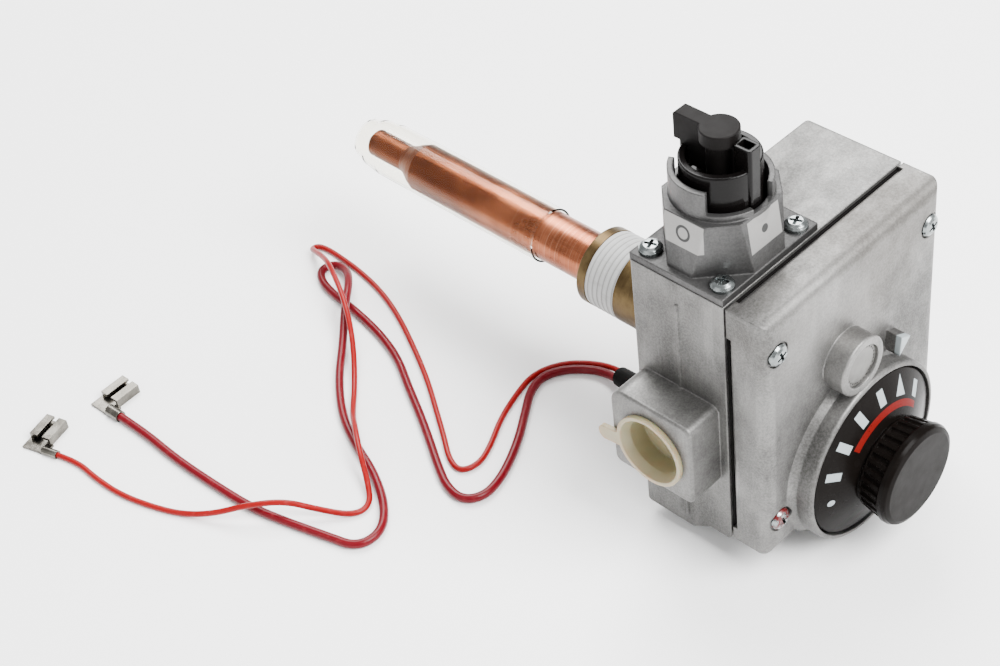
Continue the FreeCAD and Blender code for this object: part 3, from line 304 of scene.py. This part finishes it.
# ---------------------------------------------------------------- finishes
class Tone(Enum):
    """Named colours of pieces, prints, stains and wear, and of one painted shade."""

    JET = (0.0026, 0.0022, 0.0021)
    CHARCOAL = (0.0050, 0.0043, 0.0041)
    DIAL_BLACK = (0.0034, 0.0026, 0.0022)
    WHITE_PRINT = (0.28, 0.315, 0.325)
    RED_PRINT = (0.110, 0.0055, 0.0045)
    CREAM = (0.27, 0.232, 0.135)
    TAPE_WHITE = (0.38, 0.38, 0.375)
    DEEP_RED = (0.100, 0.0006, 0.0045)
    BRIGHT_RED = (0.200, 0.0006, 0.0014)
    SEALING_RED = (0.075, 0.003, 0.004)
    CAST_SPECK = (0.050, 0.048, 0.046)
    CAST_STAIN = (0.125, 0.110, 0.094)
    LABEL_PAPER = (0.330, 0.325, 0.315)
    LABEL_INK = (0.012, 0.012, 0.012)
    COPPER_AGED = (0.085, 0.026, 0.012)
    COPPER_SCRATCH = (0.62, 0.30, 0.19)
    COPPER_DULL = (0.050, 0.017, 0.010)
    TAPE_LAP = (0.115, 0.110, 0.100)
    # painted shade: the grey laid over the tape's creases
    TAPE_CREASE_SHADE = (0.18, 0.174, 0.160)
    VINYL_SHADE = (0.93, 0.90, 0.82)
    LEAD_SCUFF = (0.30, 0.040, 0.040)


@dataclass(frozen=True)
class CastFinish:
    """Die-cast aluminium: matt grey with cloudy stains, grain and rubbed edges."""

    name: str
    light: Colour = (0.215, 0.212, 0.204)
    dark: Colour = (0.060, 0.0585, 0.056)
    grain: float = 0.00006
    edge: float = 0.0007
    metallic: float = 0.82
    seed: float = 0.0

    def layers(self, g: Graph) -> tuple[Value, Value, Value]:
        """Colour, roughness and normal of the bare casting."""
        cloud = g.contrast(g.noise(26, 5, (1, 1, 1), 0.6, self.seed), 0.34, 0.66)
        streak = g.contrast(g.noise(70, 6, (1, 2.2, 0.35), 0.65, self.seed + 3), 0.40, 0.72)
        fine = g.noise(900, 3, (1, 1, 1), 0.6, self.seed)
        speck = g.contrast(g.noise(2600, 2, (1, 1, 1), 0.5, self.seed), 0.60, 0.72)
        grit = g.contrast(g.noise(1500, 3, (1, 1, 1), 0.65, self.seed + 2), 0.36, 0.64)
        tone = g.clamp(cloud * 0.50 + streak * 0.26 + fine * 0.20 + grit * 0.22 - 0.12)
        colour = g.mix(tone, self.dark, self.light)
        colour = g.mix(speck * 0.30, colour, Tone.CAST_SPECK.value)
        stain = g.contrast(g.noise(11, 3, (1, 1, 1), 0.5, self.seed + 9), 0.56, 0.74)
        colour = g.mix(stain * 0.28, colour, Tone.CAST_STAIN.value)
        roughness = g.clamp(tone.spread(0.54, 0.40) + fine * 0.10 - 0.05)
        height = fine * 0.6 + streak * 0.4
        normal = g.bump(height, self.grain * 3, 0.55, g.rounded(self.edge))
        normal = g.bump(g.noise(240, 2, (1, 1, 1), 0.5, self.seed + 5), self.grain * 2.2, 0.5, normal)
        return colour, roughness, normal

    def material(self) -> bpy.types.Material:
        """The bare casting."""
        g = Graph(self.name)
        colour, roughness, normal = self.layers(g)
        return g.surface(colour, roughness, self.metallic, normal)


@dataclass(frozen=True)
class MetalFinish:
    """Machined, drawn or plated metal with fine lines along one direction."""

    name: str
    light: Colour
    dark: Colour
    roughness: float = 0.30
    lines: tuple[float, float, float] = (1.0, 1.0, 1.0)
    line_scale: float = 400.0
    blotch_scale: float = 60.0
    depth: float = 0.00002
    edge: float = 0.0002

    def layers(self, g: Graph) -> tuple[Value, Value, Value]:
        """Colour, roughness and normal of the bare metal."""
        blotch = g.contrast(g.noise(self.blotch_scale, 4, (1, 1, 1), 0.6), 0.35, 0.68)
        line = g.noise(self.line_scale, 4, self.lines, 0.6, 2.0)
        colour = g.mix(g.clamp(blotch * 0.65 + line * 0.5 - 0.1), self.dark, self.light)
        roughness = g.clamp(line * 0.24 + blotch * 0.10 + (self.roughness - 0.17))
        return colour, roughness, g.bump(line, self.depth, 0.6, g.rounded(self.edge))

    def material(self) -> bpy.types.Material:
        """The bare metal."""
        g = Graph(self.name)
        colour, roughness, normal = self.layers(g)
        return g.surface(colour, roughness, 1.0, normal)


@dataclass(frozen=True)
class PlasticFinish:
    """Moulded plastic or rubber with a faint grain and handling marks."""

    name: str
    tone: Tone
    roughness: float = 0.35
    grain: float = 0.00002
    grain_scale: float = 1600.0
    dust: float = 0.010
    edge: float = 0.0003
    subsurface: float = 0.0
    subsurface_reach: float = 0.004
    specular: float = 0.06

    def layers(self, g: Graph) -> tuple[Value, Value, Value]:
        """Colour, roughness and normal of the plain plastic."""
        base = self.tone.value
        pale = tuple(min(1.0, c * 1.25 + self.dust) for c in base)
        wear = g.contrast(g.noise(120, 5, (1, 1, 1), 0.65, 4.0), 0.48, 0.78)
        colour = g.mix(wear * 0.5, base, pale)
        roughness = g.clamp(g.noise(260, 3) * 0.20 + wear * 0.10 + (self.roughness - 0.11))
        normal = g.bump(g.noise(self.grain_scale, 2), self.grain, 0.5, g.rounded(self.edge))
        return colour, roughness, normal

    def material(self) -> bpy.types.Material:
        """The plain plastic."""
        g = Graph(self.name)
        colour, roughness, normal = self.layers(g)
        return g.surface(colour, roughness, 0.0, normal, Subsurface_Weight=self.subsurface,
                         Subsurface_Scale=self.subsurface_reach, Specular_IOR_Level=self.specular)


@dataclass(frozen=True)
class ClearFinish:
    """Thin clear vinyl, faintly yellow, with a soft ripple."""

    name: str
    tint: Colour = (0.97, 0.955, 0.90)
    ripple: float = 0.0004
    bending: float = 1.15

    def material(self) -> bpy.types.Material:
        """The clear vinyl."""
        g = Graph(self.name)
        ripple = g.noise(90, 3, (1, 0.4, 1), 0.5)
        colour = g.mix(g.contrast(g.noise(40, 2), 0.4, 0.7) * 0.4, self.tint, Tone.VINYL_SHADE.value)
        return g.surface(colour, g.clamp(ripple * 0.05), 0.0, g.bump(ripple, self.ripple, 0.25),
                         Transmission_Weight=1.0, IOR=self.bending)


# ---------------------------------------------------------------- helpers
def dress(material: bpy.types.Material, *nodes: str) -> None:
    """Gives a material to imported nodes.

    Args:
        material: the finish.
        nodes: names of the nodes.
    """
    for name in nodes:
        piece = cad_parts[name]
        for material_slot in piece.material_slots:
            material_slot.material = material
        LOG.info("%s: %s", name, material.name)


def middle(node: str) -> Vector:
    """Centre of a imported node's box."""
    low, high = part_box(node)
    return (low + high) / 2


# ---------------------------------------------------------------- casting
@dataclass
class Casting:
    """Body, cover, gasket and their screws."""

    pointer_angle: float = 27.0
    pointer_near: float = 0.0306
    pointer_far: float = 0.0376
    pointer_half: float = 0.0027
    pointer_depth: float = 0.0036
    pointer_flake: float = 0.0008
    sealed_corner: float = 0.008
    seal_fade: float = 20.0

    def pointer_paint(self, g: Graph) -> Value:
        """Mask of the painted front of the pointer beside the dial."""
        dial = middle("dial_adjuster")
        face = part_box("front_cover")[0].y
        tip = math.radians(self.pointer_angle)
        across = g.x - dial.x
        up = g.z - dial.z
        radial = across * math.sin(tip) + up * math.cos(tip)
        side = abs(across * math.cos(tip) - up * math.sin(tip))
        flaky = (g.noise(700, 3) - 0.5) * self.pointer_flake
        front = g.y.below(face + self.pointer_depth, 0.0003)
        length = radial.between(self.pointer_near, self.pointer_far)
        return length * (side + flaky).below(self.pointer_half) * front

    def dress(self) -> None:
        """Casts, plates and paints the fixed pieces."""
        dress(CastFinish("cast_body", seed=1.0).material(), "main_body")
        g = Graph("cast_cover")
        cast = CastFinish("cast_cover", light=(0.250, 0.246, 0.238), seed=6.0)
        colour, roughness, normal = cast.layers(g)
        paint = self.pointer_paint(g)
        colour = g.mix(paint, colour, Tone.WHITE_PRINT.value)
        dress(g.surface(colour, roughness, (1 - paint) * cast.metallic, normal), "front_cover")
        fibre = PlasticFinish("fibre_gasket", Tone.JET, roughness=0.75, grain=0.00008, grain_scale=900.0)
        dress(fibre.material(), "cover_gasket")
        plated = MetalFinish("zinc_plate", (0.36, 0.385, 0.385), (0.15, 0.165, 0.165), roughness=0.26,
                             line_scale=500.0, blotch_scale=200.0)
        dress(plated.material(), "collar_screws")
        dress(self.sealed_screws(plated), "cover_screws")

    def sealed_screws(self, plated: MetalFinish) -> bpy.types.Material:
        """Plated screws, one with a dab of sealing paint in its recess."""
        g = Graph("zinc_plate_sealed")
        colour, roughness, normal = plated.layers(g)
        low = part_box("cover_screws")[0]
        place = (g.x - low.x).below(self.sealed_corner) * (g.z - low.z).below(self.sealed_corner)
        drips = g.noise(260, 3, (1, 1, 1), 0.6, 7.0) - (g.z - low.z) * self.seal_fade
        dab = place * g.contrast(drips, 0.36, 0.44)
        colour = g.mix(dab, colour, Tone.SEALING_RED.value)
        return g.surface(colour, roughness, 1.0 - dab, normal)


# ---------------------------------------------------------------- gas cock
@dataclass
class GasCock:
    """Collar, knob and reset button, with the pieces inside them."""

    off_half: float = 0.0069
    off_depth: float = 0.0115
    off_heights: tuple[float, float] = (0.0104, 0.0192)
    pilot_half: float = 0.0065
    pilot_depth: float = 0.0103
    pilot_heights: tuple[float, float] = (0.0082, 0.0186)
    ring_radius: float = 0.0021
    ring_line: float = 0.0004
    dot_radius: float = 0.001302

    def collar(self) -> bpy.types.Material:
        """Collar's casting, with two smooth pale labels that carry a ring and a dot."""
        g = Graph("cast_collar")
        cast = CastFinish("cast_collar", light=(0.088, 0.087, 0.086), dark=(0.030, 0.0295, 0.029), seed=12.0)
        colour, roughness, normal = cast.layers(g)
        centre = middle("gas_cock_rotor")
        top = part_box("main_body")[1].z
        across, along, up = g.x - centre.x, g.y - centre.y, g.z - top
        off = (-1 * across).above(self.off_depth) * abs(along).below(self.off_half)
        off = off * up.between(*self.off_heights)
        pilot = (-1 * along).above(self.pilot_depth) * abs(across).below(self.pilot_half)
        pilot = pilot * up.between(*self.pilot_heights)
        label = off.either(pilot)
        ring = abs(along.hypot(up - sum(self.off_heights) / 2) - self.ring_radius).below(self.ring_line)
        dot = across.hypot(up - sum(self.pilot_heights) / 2).below(self.dot_radius)
        ink = (ring * off).either(dot * pilot)
        colour = g.mix(label * 0.75, colour, Tone.LABEL_PAPER.value)
        colour = g.mix(ink, colour, Tone.LABEL_INK.value)
        return g.surface(colour, g.clamp(roughness + label * 0.08), 0.80 - ink * 0.6, normal)

    def dress(self) -> None:
        """Finishes the cock's pieces."""
        dress(self.collar(), "knob_collar")
        gloss = PlasticFinish("gloss_black", Tone.JET, roughness=0.16, grain=0.00001, grain_scale=900.0,
                              dust=0.001, edge=0.0005, specular=0.10)
        dress(gloss.material(), "gas_cock_knob")
        matt = PlasticFinish("matt_charcoal", Tone.CHARCOAL, roughness=0.50, grain=0.00003,
                             grain_scale=2200.0, dust=0.004, edge=0.0004)
        dress(matt.material(), "reset_button")
        brass = MetalFinish("turned_brass", (0.31, 0.22, 0.08), (0.16, 0.11, 0.04), roughness=0.28,
                            lines=(1, 1, 6), line_scale=500.0)
        dress(brass.material(), "gas_cock_rotor", "dial_adjuster")


# ---------------------------------------------------------------- dial
@dataclass
class TemperatureDial:
    """Dial with its printed marks."""

    tick_angles: tuple[float, ...] = (51.5, 2.5, -22.0, -46.5, -71.0)
    tick_radius: float = 0.0225
    tick_half_long: float = 0.0024
    tick_half_wide: float = 0.00145
    arrow_angle: float = 27.0
    arrow_tip: float = 0.0262
    arrow_base: float = 0.0202
    arrow_half_wide: float = 0.0024
    arc_radius: float = 0.0181
    arc_half_wide: float = 0.0010
    arc_middle: float = 4.5
    arc_half_angle: float = 50.5
    dot_angle: float = -97.0
    dot_radius: float = 0.0012
    arc_soft: float = 0.01
    face_depth: float = 0.0008
    specular: float = 0.03

    def dress(self) -> None:
        """Prints the dial."""
        g = Graph("printed_dial")
        plastic = PlasticFinish("printed_dial", Tone.DIAL_BLACK, roughness=0.24, grain_scale=1200.0,
                                dust=0.003, edge=0.0005)
        colour, roughness, normal = plastic.layers(g)
        centre = middle("temperature_dial")
        across, up = g.x - centre.x, g.z - centre.z
        out, side = self.turned(across, up, self.arrow_angle)
        slope = self.arrow_half_wide / (self.arrow_tip - self.arrow_base)
        arrow = (abs(side) + out * slope).below(self.arrow_tip * slope) * out.above(self.arrow_base)
        out, side = self.turned(across, up, self.dot_angle)
        white = arrow.either((out - self.tick_radius).hypot(side).below(self.dot_radius))
        for angle in self.tick_angles:
            out, side = self.turned(across, up, angle)
            tick = abs(out - self.tick_radius).below(self.tick_half_long)
            white = white.either(tick * abs(side).below(self.tick_half_wide))
        out, side = self.turned(across, up, self.arc_middle)
        limit = math.cos(math.radians(self.arc_half_angle))
        reach = across.hypot(up)
        arc = abs(reach - self.arc_radius).below(self.arc_half_wide)
        arc = arc * (out / reach).above(limit, self.arc_soft)
        worn = g.contrast(g.noise(900, 3, (1, 1, 1), 0.6, 8.0), 0.22, 0.34)
        colour = g.mix(white * worn, colour, Tone.WHITE_PRINT.value)
        colour = g.mix(arc * worn, colour, Tone.RED_PRINT.value)
        front = g.y.below(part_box("temperature_dial")[0].y + self.face_depth)
        roughness = g.clamp(roughness + front * 0.14 + white * 0.15 + arc * 0.15)
        printed = g.surface(colour, roughness, 0.0, normal, Specular_IOR_Level=self.specular)
        dress(printed, "temperature_dial")

    @staticmethod
    def turned(across: Value, up: Value, angle: float) -> tuple[Value, Value]:
        """Distances out along a clock angle, and to its side.

        Args:
            across: distance to the right of the dial's centre.
            up: distance above it.
            angle: degrees clockwise from straight up.

        Returns:
            The distance outwards and the distance sideways.
        """
        turn = math.radians(angle)
        return (across * math.sin(turn) + up * math.cos(turn), across * math.cos(turn) - up * math.sin(turn))


# ---------------------------------------------------------------- probe
@dataclass
class Probe:
    """Brass shank with its tape, copper tube and clear cap."""

    bright_to: float = 0.086
    aged_from: float = 0.158
    tape_turns: int = 6
    tape_slant: float = 0.03

    def dress(self) -> None:
        """Finishes the pieces that go into the tank."""
        shank = MetalFinish("dull_brass", (0.135, 0.094, 0.042), (0.048, 0.030, 0.014), roughness=0.40,
                            lines=(1, 8, 1), line_scale=260.0, blotch_scale=120.0, depth=0.00005)
        dress(shank.material(), "shank")
        dress(self.copper(), "probe_tube")
        dress(self.tape(), "thread_tape")
        dress(ClearFinish("clear_vinyl").material(), "probe_cap")
        steel = MetalFinish("drawn_steel", (0.25, 0.25, 0.24), (0.12, 0.12, 0.115), roughness=0.32,
                            lines=(1, 0.1, 1), line_scale=600.0)
        dress(steel.material(), "thermostat_rod", "lever_pin", "lever_bracket", "thermostat_lever",
              "magnet_core", "safety_armature", "inlet_screen", "snap_disc")

    def copper(self) -> bpy.types.Material:
        """Drawn copper: rubbed bright near the shank, browner under the cap and at the tip."""
        g = Graph("drawn_copper")
        metal = MetalFinish("drawn_copper", (0.40, 0.135, 0.065), (0.170, 0.046, 0.020),
                            lines=(1, 0.08, 1), line_scale=420.0, blotch_scale=70.0, depth=0.00003)
        colour, roughness, normal = metal.layers(g)
        age = g.contrast(g.y + g.noise(60, 4) * 0.03, self.bright_to, self.aged_from)
        patch = g.contrast(g.noise(85, 5, (1, 0.5, 1), 0.6, 5.0), 0.46, 0.62)
        brown = g.clamp(age * 0.70 + age * patch * 0.3)
        colour = g.mix(brown, colour, Tone.COPPER_AGED.value)
        ring = g.contrast(g.noise(60, 6, (0.4, 30, 0.4), 0.7, 9.0), 0.50, 0.70) * g.y.below(self.bright_to)
        colour = g.mix(ring * 0.45, colour, Tone.COPPER_SCRATCH.value)
        dull = g.contrast(g.noise(33, 4, (1, 0.4, 1), 0.6, 21.0), 0.50, 0.64)
        colour = g.mix(dull * age * 0.6, colour, Tone.COPPER_DULL.value)
        return g.surface(colour, g.clamp(roughness + age * 0.14), 1.0, normal)

    def tape(self) -> bpy.types.Material:
        """Wound sealing tape with grey overlaps and painted shade in its creases."""
        g = Graph("sealing_tape")
        low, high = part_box("thread_tape")
        pitch = (high.y - low.y) / self.tape_turns
        lap = (g.y + g.x * self.tape_slant - low.y) / pitch
        wave = g.node("ShaderNodeMath", {"operation": "FRACT"}, {0: lap})
        edge = wave.below(0.20, 0.12)
        crease_and_shade = g.noise(500, 5, (1, 0.25, 1), 0.6)
        colour = g.mix(edge * 0.55, Tone.TAPE_WHITE.value, Tone.TAPE_LAP.value)
        # painted shade: a darker grey where the crease noise is high; the same noise also shapes the
        # creases' bump
        colour = g.mix(g.contrast(crease_and_shade, 0.5, 0.75) * 0.25, colour, Tone.TAPE_CREASE_SHADE.value)
        normal = g.bump(crease_and_shade * 0.4 + wave * 0.6, 0.0004, 0.6)
        return g.surface(colour, 0.55, 0.0, normal)


# ---------------------------------------------------------------- inlet, regulator and inner pieces
@dataclass
class SmallPieces:
    """Inlet plug, regulator and the pieces that show only in part or not at all."""

    press: float = 0.0035
    reset_wire: float = 0.0007
    safety_wire: float = 0.0008

    def dress(self) -> None:
        """Finishes them."""
        cream = PlasticFinish("cream_plastic", Tone.CREAM, roughness=0.34, grain=0.00003, grain_scale=500.0,
                              dust=0.0, edge=0.0005, subsurface=0.35, specular=0.4)
        dress(cream.material(), "inlet_plug")
        alloy = MetalFinish("turned_alloy", (0.25, 0.245, 0.235), (0.10, 0.098, 0.092), roughness=0.42,
                            line_scale=700.0, blotch_scale=90.0, depth=0.00006)
        dress(alloy.material(), "regulator_cap", "main_valve", "regulator_valve", "safety_valve_disc",
              "magnet_case")
        dress(PlasticFinish("dark_plastic", Tone.CHARCOAL, roughness=0.40).material(), "regulator_screw")
        rubber = PlasticFinish("black_rubber", Tone.JET, roughness=0.62, grain=0.00006, grain_scale=1100.0,
                               dust=0.004)
        dress(rubber.material(), "lead_boot", "stem_seal", "safety_seal", "dial_seal", "main_valve_seal",
              "regulator_diaphragm")
        sprung = MetalFinish("spring_wire", (0.23, 0.23, 0.225), (0.10, 0.10, 0.10), line_scale=900.0)
        wire = sprung.material()
        dress(wire, "gas_cock_spring", "main_valve_spring", "regulator_spring")
        coils = (CoilSpring("reset_coil", "reset_spring", "gas_cock", "reset_press", self.press,
                            self.reset_wire, turns=6),
                 CoilSpring("safety_coil", "safety_spring", "valve_body", "safety_valve_lift", self.press,
                            self.safety_wire, turns=5))
        for coil in coils:
            coil.build(wire)
        winding = MetalFinish("enamelled_winding", (0.22, 0.08, 0.03), (0.11, 0.035, 0.015), roughness=0.34,
                              lines=(1, 1, 30), line_scale=90.0)
        dress(winding.material(), "magnet_coil")


# ---------------------------------------------------------------- springs
@dataclass
class CoilSpring:
    """A coil in the place of a packed spring that is rigid.

    Its axis is upright.
    """

    name: str
    node: str
    body: str
    joint: str
    travel: float
    wire: float
    turns: float
    sides: int = 8
    steps_per_turn: int = 24

    def build(self, material: bpy.types.Material) -> bpy.types.Object:
        """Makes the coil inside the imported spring's box.

        Args:
            material: the wire's finish.

        Returns:
            The coil.
        """
        low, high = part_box(self.node)
        centre = (low + high) / 2
        radius = (high.x - low.x - self.wire) / 2
        rise = high.z - low.z - self.wire
        steps = round(self.turns * self.steps_per_turn)
        points: list[Vector] = []
        faces: list[tuple[int, ...]] = []
        for step in range(steps + 1):
            angle = 2 * math.pi * self.turns * step / steps
            out = Vector((math.cos(angle), math.sin(angle), 0))
            axis_point = Vector((centre.x, centre.y, low.z + self.wire / 2 + rise * step / steps))
            for side in range(self.sides):
                round_wire = 2 * math.pi * side / self.sides
                offset = out * math.cos(round_wire) + Vector((0, 0, math.sin(round_wire)))
                points.append(axis_point + out * radius + offset * (self.wire / 2))
        for step in range(steps):
            for side in range(self.sides):
                here, beside = step * self.sides + side, step * self.sides + (side + 1) % self.sides
                faces.append((here, here + self.sides, beside + self.sides, beside))
        faces.append(tuple(range(self.sides)))
        faces.append(tuple(reversed(range(steps * self.sides, (steps + 1) * self.sides))))
        mesh = bpy.data.meshes.new(self.name)
        mesh.from_pydata(points, [], faces)
        mesh.shade_smooth()
        piece = bpy.data.objects.new(self.name, mesh)
        bpy.context.scene.collection.objects.link(piece)
        mesh.materials.append(material)
        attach(piece, self.body)
        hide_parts(self.node)
        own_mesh(piece)
        LOG.info("%s: %d points", self.name, len(points))
        return piece


# ---------------------------------------------------------------- leads
@dataclass
class Lead:
    """One insulated lead that runs from the boot to its terminal.

    The start's points are (x, y, z) and the route's are (x, y, height above where the lead lies), in
    metres.
    """

    name: str
    diameter: float
    length: float
    tone: Tone
    terminal: str
    start: Route
    route: Route
    floor_gap: float = 0.00005

    def points(self) -> list[Vector]:
        """Control points of the lead's centreline."""
        rest = FLOOR + self.diameter / 2 + self.floor_gap
        return [Vector(p) for p in self.start] + [Vector((x, y, rest + lift)) for x, y, lift in self.route]

    def build(self) -> bpy.types.Object:
        """Returns:
            The lead.
        """
        points = self.points()
        curve = bpy.data.curves.new(self.name, "CURVE")
        curve.dimensions = "3D"
        curve.bevel_depth = self.diameter / 2
        curve.bevel_resolution = 5
        curve.resolution_u = 10
        curve.use_fill_caps = True
        spline = curve.splines.new("NURBS")
        spline.points.add(len(points) - 1)
        for control, point in zip(spline.points, points):
            control.co = (*point, 1.0)
        spline.order_u = 3
        spline.use_endpoint_u = True
        piece = bpy.data.objects.new(self.name, curve)
        bpy.context.scene.collection.objects.link(piece)
        curve.materials.append(self.insulation())
        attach(piece, "valve_body")
        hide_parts(self.name.replace("_wire", "_lead"))
        LOG.info("%s: %d points", self.name, len(points))
        return piece

    def insulation(self) -> bpy.types.Material:
        """Soft glossy insulation with scuffs."""
        g = Graph(self.name + "_insulation")
        base = self.tone.value
        scuff = g.contrast(g.noise(420, 4, (1, 1, 1), 0.6), 0.52, 0.76)
        colour = g.mix(g.noise(50, 2), tuple(c * 0.82 for c in base), tuple(min(1.0, c * 1.2) for c in base))
        colour = g.mix(scuff * 0.22, colour, Tone.LEAD_SCUFF.value)
        normal = g.bump(g.noise(1100, 2), 0.00004, 0.5)
        return g.surface(colour, g.clamp(scuff * 0.2 + 0.30), 0.0, normal, Specular_IOR_Level=0.16)


@dataclass
class Leads:
    """The two leads and their flag terminals."""

    thick_diameter: float = 0.003
    thick_length: float = 0.483
    thin_diameter: float = 0.002
    thin_length: float = 0.481
    thick_start: Route = (
        (-0.00507, 0.04430, -0.04370), (-0.00396, 0.05003, -0.04509))
    thick_route: Route = (
        (-0.0064, 0.0572, 0), (-0.0118, 0.0634, 0), (-0.0186, 0.0666, 0), (-0.0260, 0.0648, 0),
        (-0.0340, 0.0594, 0), (-0.0430, 0.0533, 0), (-0.0522, 0.0482, 0), (-0.0616, 0.0443, 0),
        (-0.0698, 0.0432, 0), (-0.0754, 0.0474, 0), (-0.0746, 0.0556, 0), (-0.0698, 0.0646, 0),
        (-0.0634, 0.0752, 0), (-0.0572, 0.0860, 0), (-0.0505, 0.0988, 0), (-0.0429, 0.1120, 0),
        (-0.0380, 0.1270, 0), (-0.0352, 0.1435, 0), (-0.0342, 0.1562, 0), (-0.0318, 0.1650, 0),
        (-0.0276, 0.1693, 0), (-0.0228, 0.1670, 0.0003), (-0.0234, 0.1596, 0.0020),
        (-0.0296, 0.1508, 0.0050), (-0.0402, 0.1416, 0.0050), (-0.0506, 0.1318, 0.0014),
        (-0.0624, 0.1214, 0), (-0.0738, 0.1072, 0), (-0.0804, 0.0932, 0), (-0.0849, 0.0794, 0),
        (-0.0926, 0.0654, 0), (-0.1014, 0.0576, 0), (-0.1106, 0.0592, 0), (-0.1134, 0.0694, 0),
        (-0.1176, 0.0840, 0), (-0.1210, 0.0982, 0), (-0.1222, 0.1146, 0), (-0.1230, 0.1350, 0),
        (-0.1220, 0.1546, 0), (-0.1226, 0.1666, 0))
    thin_start: Route = (
        (-0.00163, 0.04364, -0.04370), (-0.00053, 0.04937, -0.04509))
    thin_route: Route = (
        (-0.0024, 0.0576, 0), (-0.0090, 0.0660, 0), (-0.0192, 0.0702, 0), (-0.0298, 0.0678, 0),
        (-0.0414, 0.0638, 0), (-0.0520, 0.0579, 0), (-0.0604, 0.0548, 0), (-0.0668, 0.0572, 0),
        (-0.0654, 0.0638, 0), (-0.0592, 0.0726, 0), (-0.0522, 0.0834, 0), (-0.0438, 0.0964, 0),
        (-0.0364, 0.1100, 0), (-0.0276, 0.1278, 0), (-0.0220, 0.1434, 0), (-0.0192, 0.1586, 0),
        (-0.0184, 0.1700, 0), (-0.0183, 0.1768, 0), (-0.0195, 0.1804, 0.0003), (-0.0226, 0.1804, 0.0010),
        (-0.0244, 0.1756, 0.0034), (-0.0268, 0.1678, 0.0066), (-0.0310, 0.1584, 0.0102),
        (-0.0406, 0.1398, 0.0102), (-0.0496, 0.1268, 0.0048), (-0.0610, 0.1146, 0),
        (-0.0722, 0.1030, 0.0022), (-0.0782, 0.0944, 0.0060), (-0.0850, 0.0846, 0.0060),
        (-0.0902, 0.0760, 0.0020), (-0.0954, 0.0694, 0), (-0.1020, 0.0704, 0), (-0.1086, 0.0796, 0.0022),
        (-0.1150, 0.0876, 0.0060), (-0.1238, 0.0958, 0.0060), (-0.1314, 0.1050, 0.0020),
        (-0.1372, 0.1146, 0), (-0.1416, 0.1256, 0), (-0.1449, 0.1380, 0), (-0.1456, 0.1508, 0),
        (-0.1450, 0.1616, 0), (-0.1474, 0.1696, 0))

    def build(self) -> None:
        """Makes both leads and dresses their terminals."""
        Lead("thick_wire", self.thick_diameter, self.thick_length, Tone.DEEP_RED, "thick_lead_terminal",
             self.thick_start, self.thick_route).build()
        Lead("thin_wire", self.thin_diameter, self.thin_length, Tone.BRIGHT_RED, "thin_lead_terminal",
             self.thin_start, self.thin_route).build()
        tinned = MetalFinish("tinned_brass", (0.215, 0.203, 0.178), (0.075, 0.070, 0.060), roughness=0.26,
                             line_scale=300.0, blotch_scale=130.0, depth=0.00004)
        dress(tinned.material(), "thick_lead_terminal", "thin_lead_terminal")


# ---------------------------------------------------------------- studio
@dataclass
class Studio:
    """Floor, lights and camera."""

    camera_place: tuple[float, float, float] = (-0.3391, -0.2956, 0.4149)
    azimuth: float = -40.101
    elevation: float = 42.193
    roll: float = -8.068
    lens: float = 71.18
    sensor: float = 36.0
    floor_size: float = 6.0
    room_light: float = 0.90
    lamps: tuple[tuple[str, tuple[float, float, float], float, float], ...] = (
        ("key", (0.20, -0.90, 1.10), 0.9, 75.0), ("fill", (-1.2, 0.1, 0.8), 1.2, 6.0),
        ("rim", (0.60, 0.80, 1.30), 1.0, 60.0))

    def build(self) -> None:
        """Sets the stage."""
        bpy.ops.mesh.primitive_plane_add(size=self.floor_size, location=(0, 0, FLOOR))
        floor = bpy.context.object
        floor.name = "floor"
        g = Graph("pale_floor")
        colour = g.mix(g.noise(3, 2), (0.94, 0.94, 0.94), (0.96, 0.96, 0.96))
        floor.data.materials.append(g.surface(colour, 0.8))
        for name, place, size, power in self.lamps:
            self.area(name, place, size, power)
        world = bpy.data.worlds.new("soft_room")
        world.use_nodes = True
        background = world.node_tree.nodes["Background"]
        background.inputs["Color"].default_value = (1.0, 1.0, 1.0, 1.0)
        background.inputs["Strength"].default_value = self.room_light
        bpy.context.scene.world = world
        self.aim()

    def area(self, name: str, place: Sequence[float], size: float, power: float) -> None:
        """Adds a square light that faces the part.

        Args:
            name: the light's name.
            place: where it hangs.
            size: length of its side.
            power: watts.
        """
        lamp = bpy.data.lights.new(name, "AREA")
        lamp.size = size
        lamp.energy = power
        holder = bpy.data.objects.new(name, lamp)
        holder.location = place
        holder.rotation_euler = (Vector(place) * -1).to_track_quat("-Z", "Y").to_euler()
        bpy.context.scene.collection.objects.link(holder)

    def aim(self) -> None:
        """Places the camera from its azimuth, elevation and roll."""
        az, el, roll = (math.radians(a) for a in (self.azimuth, self.elevation, self.roll))
        back = Vector((math.sin(az) * math.cos(el), -math.cos(az) * math.cos(el), math.sin(el)))
        right = (-back).cross(Vector((0, 0, 1))).normalized()
        above = right.cross(-back).normalized()
        right, above = (right * math.cos(roll) + above * math.sin(roll),
                        above * math.cos(roll) - right * math.sin(roll))
        data = bpy.data.cameras.new("camera")
        data.lens = self.lens
        data.sensor_width = self.sensor
        data.clip_start = 0.01
        holder = bpy.data.objects.new("camera", data)
        turned = Matrix((right, above, back)).transposed().to_4x4()
        holder.matrix_world = Matrix.Translation(self.camera_place) @ turned
        bpy.context.scene.collection.objects.link(holder)
        bpy.context.scene.camera = holder


def main() -> None:
    """Builds and dresses every sub-assembly in order."""
    logging.basicConfig(level=logging.INFO, format="%(name)s %(message)s")
    Casting().dress()
    GasCock().dress()
    TemperatureDial().dress()
    Probe().dress()
    SmallPieces().dress()
    Leads().build()
    Studio().build()


if __name__ == "__main__":
    main()
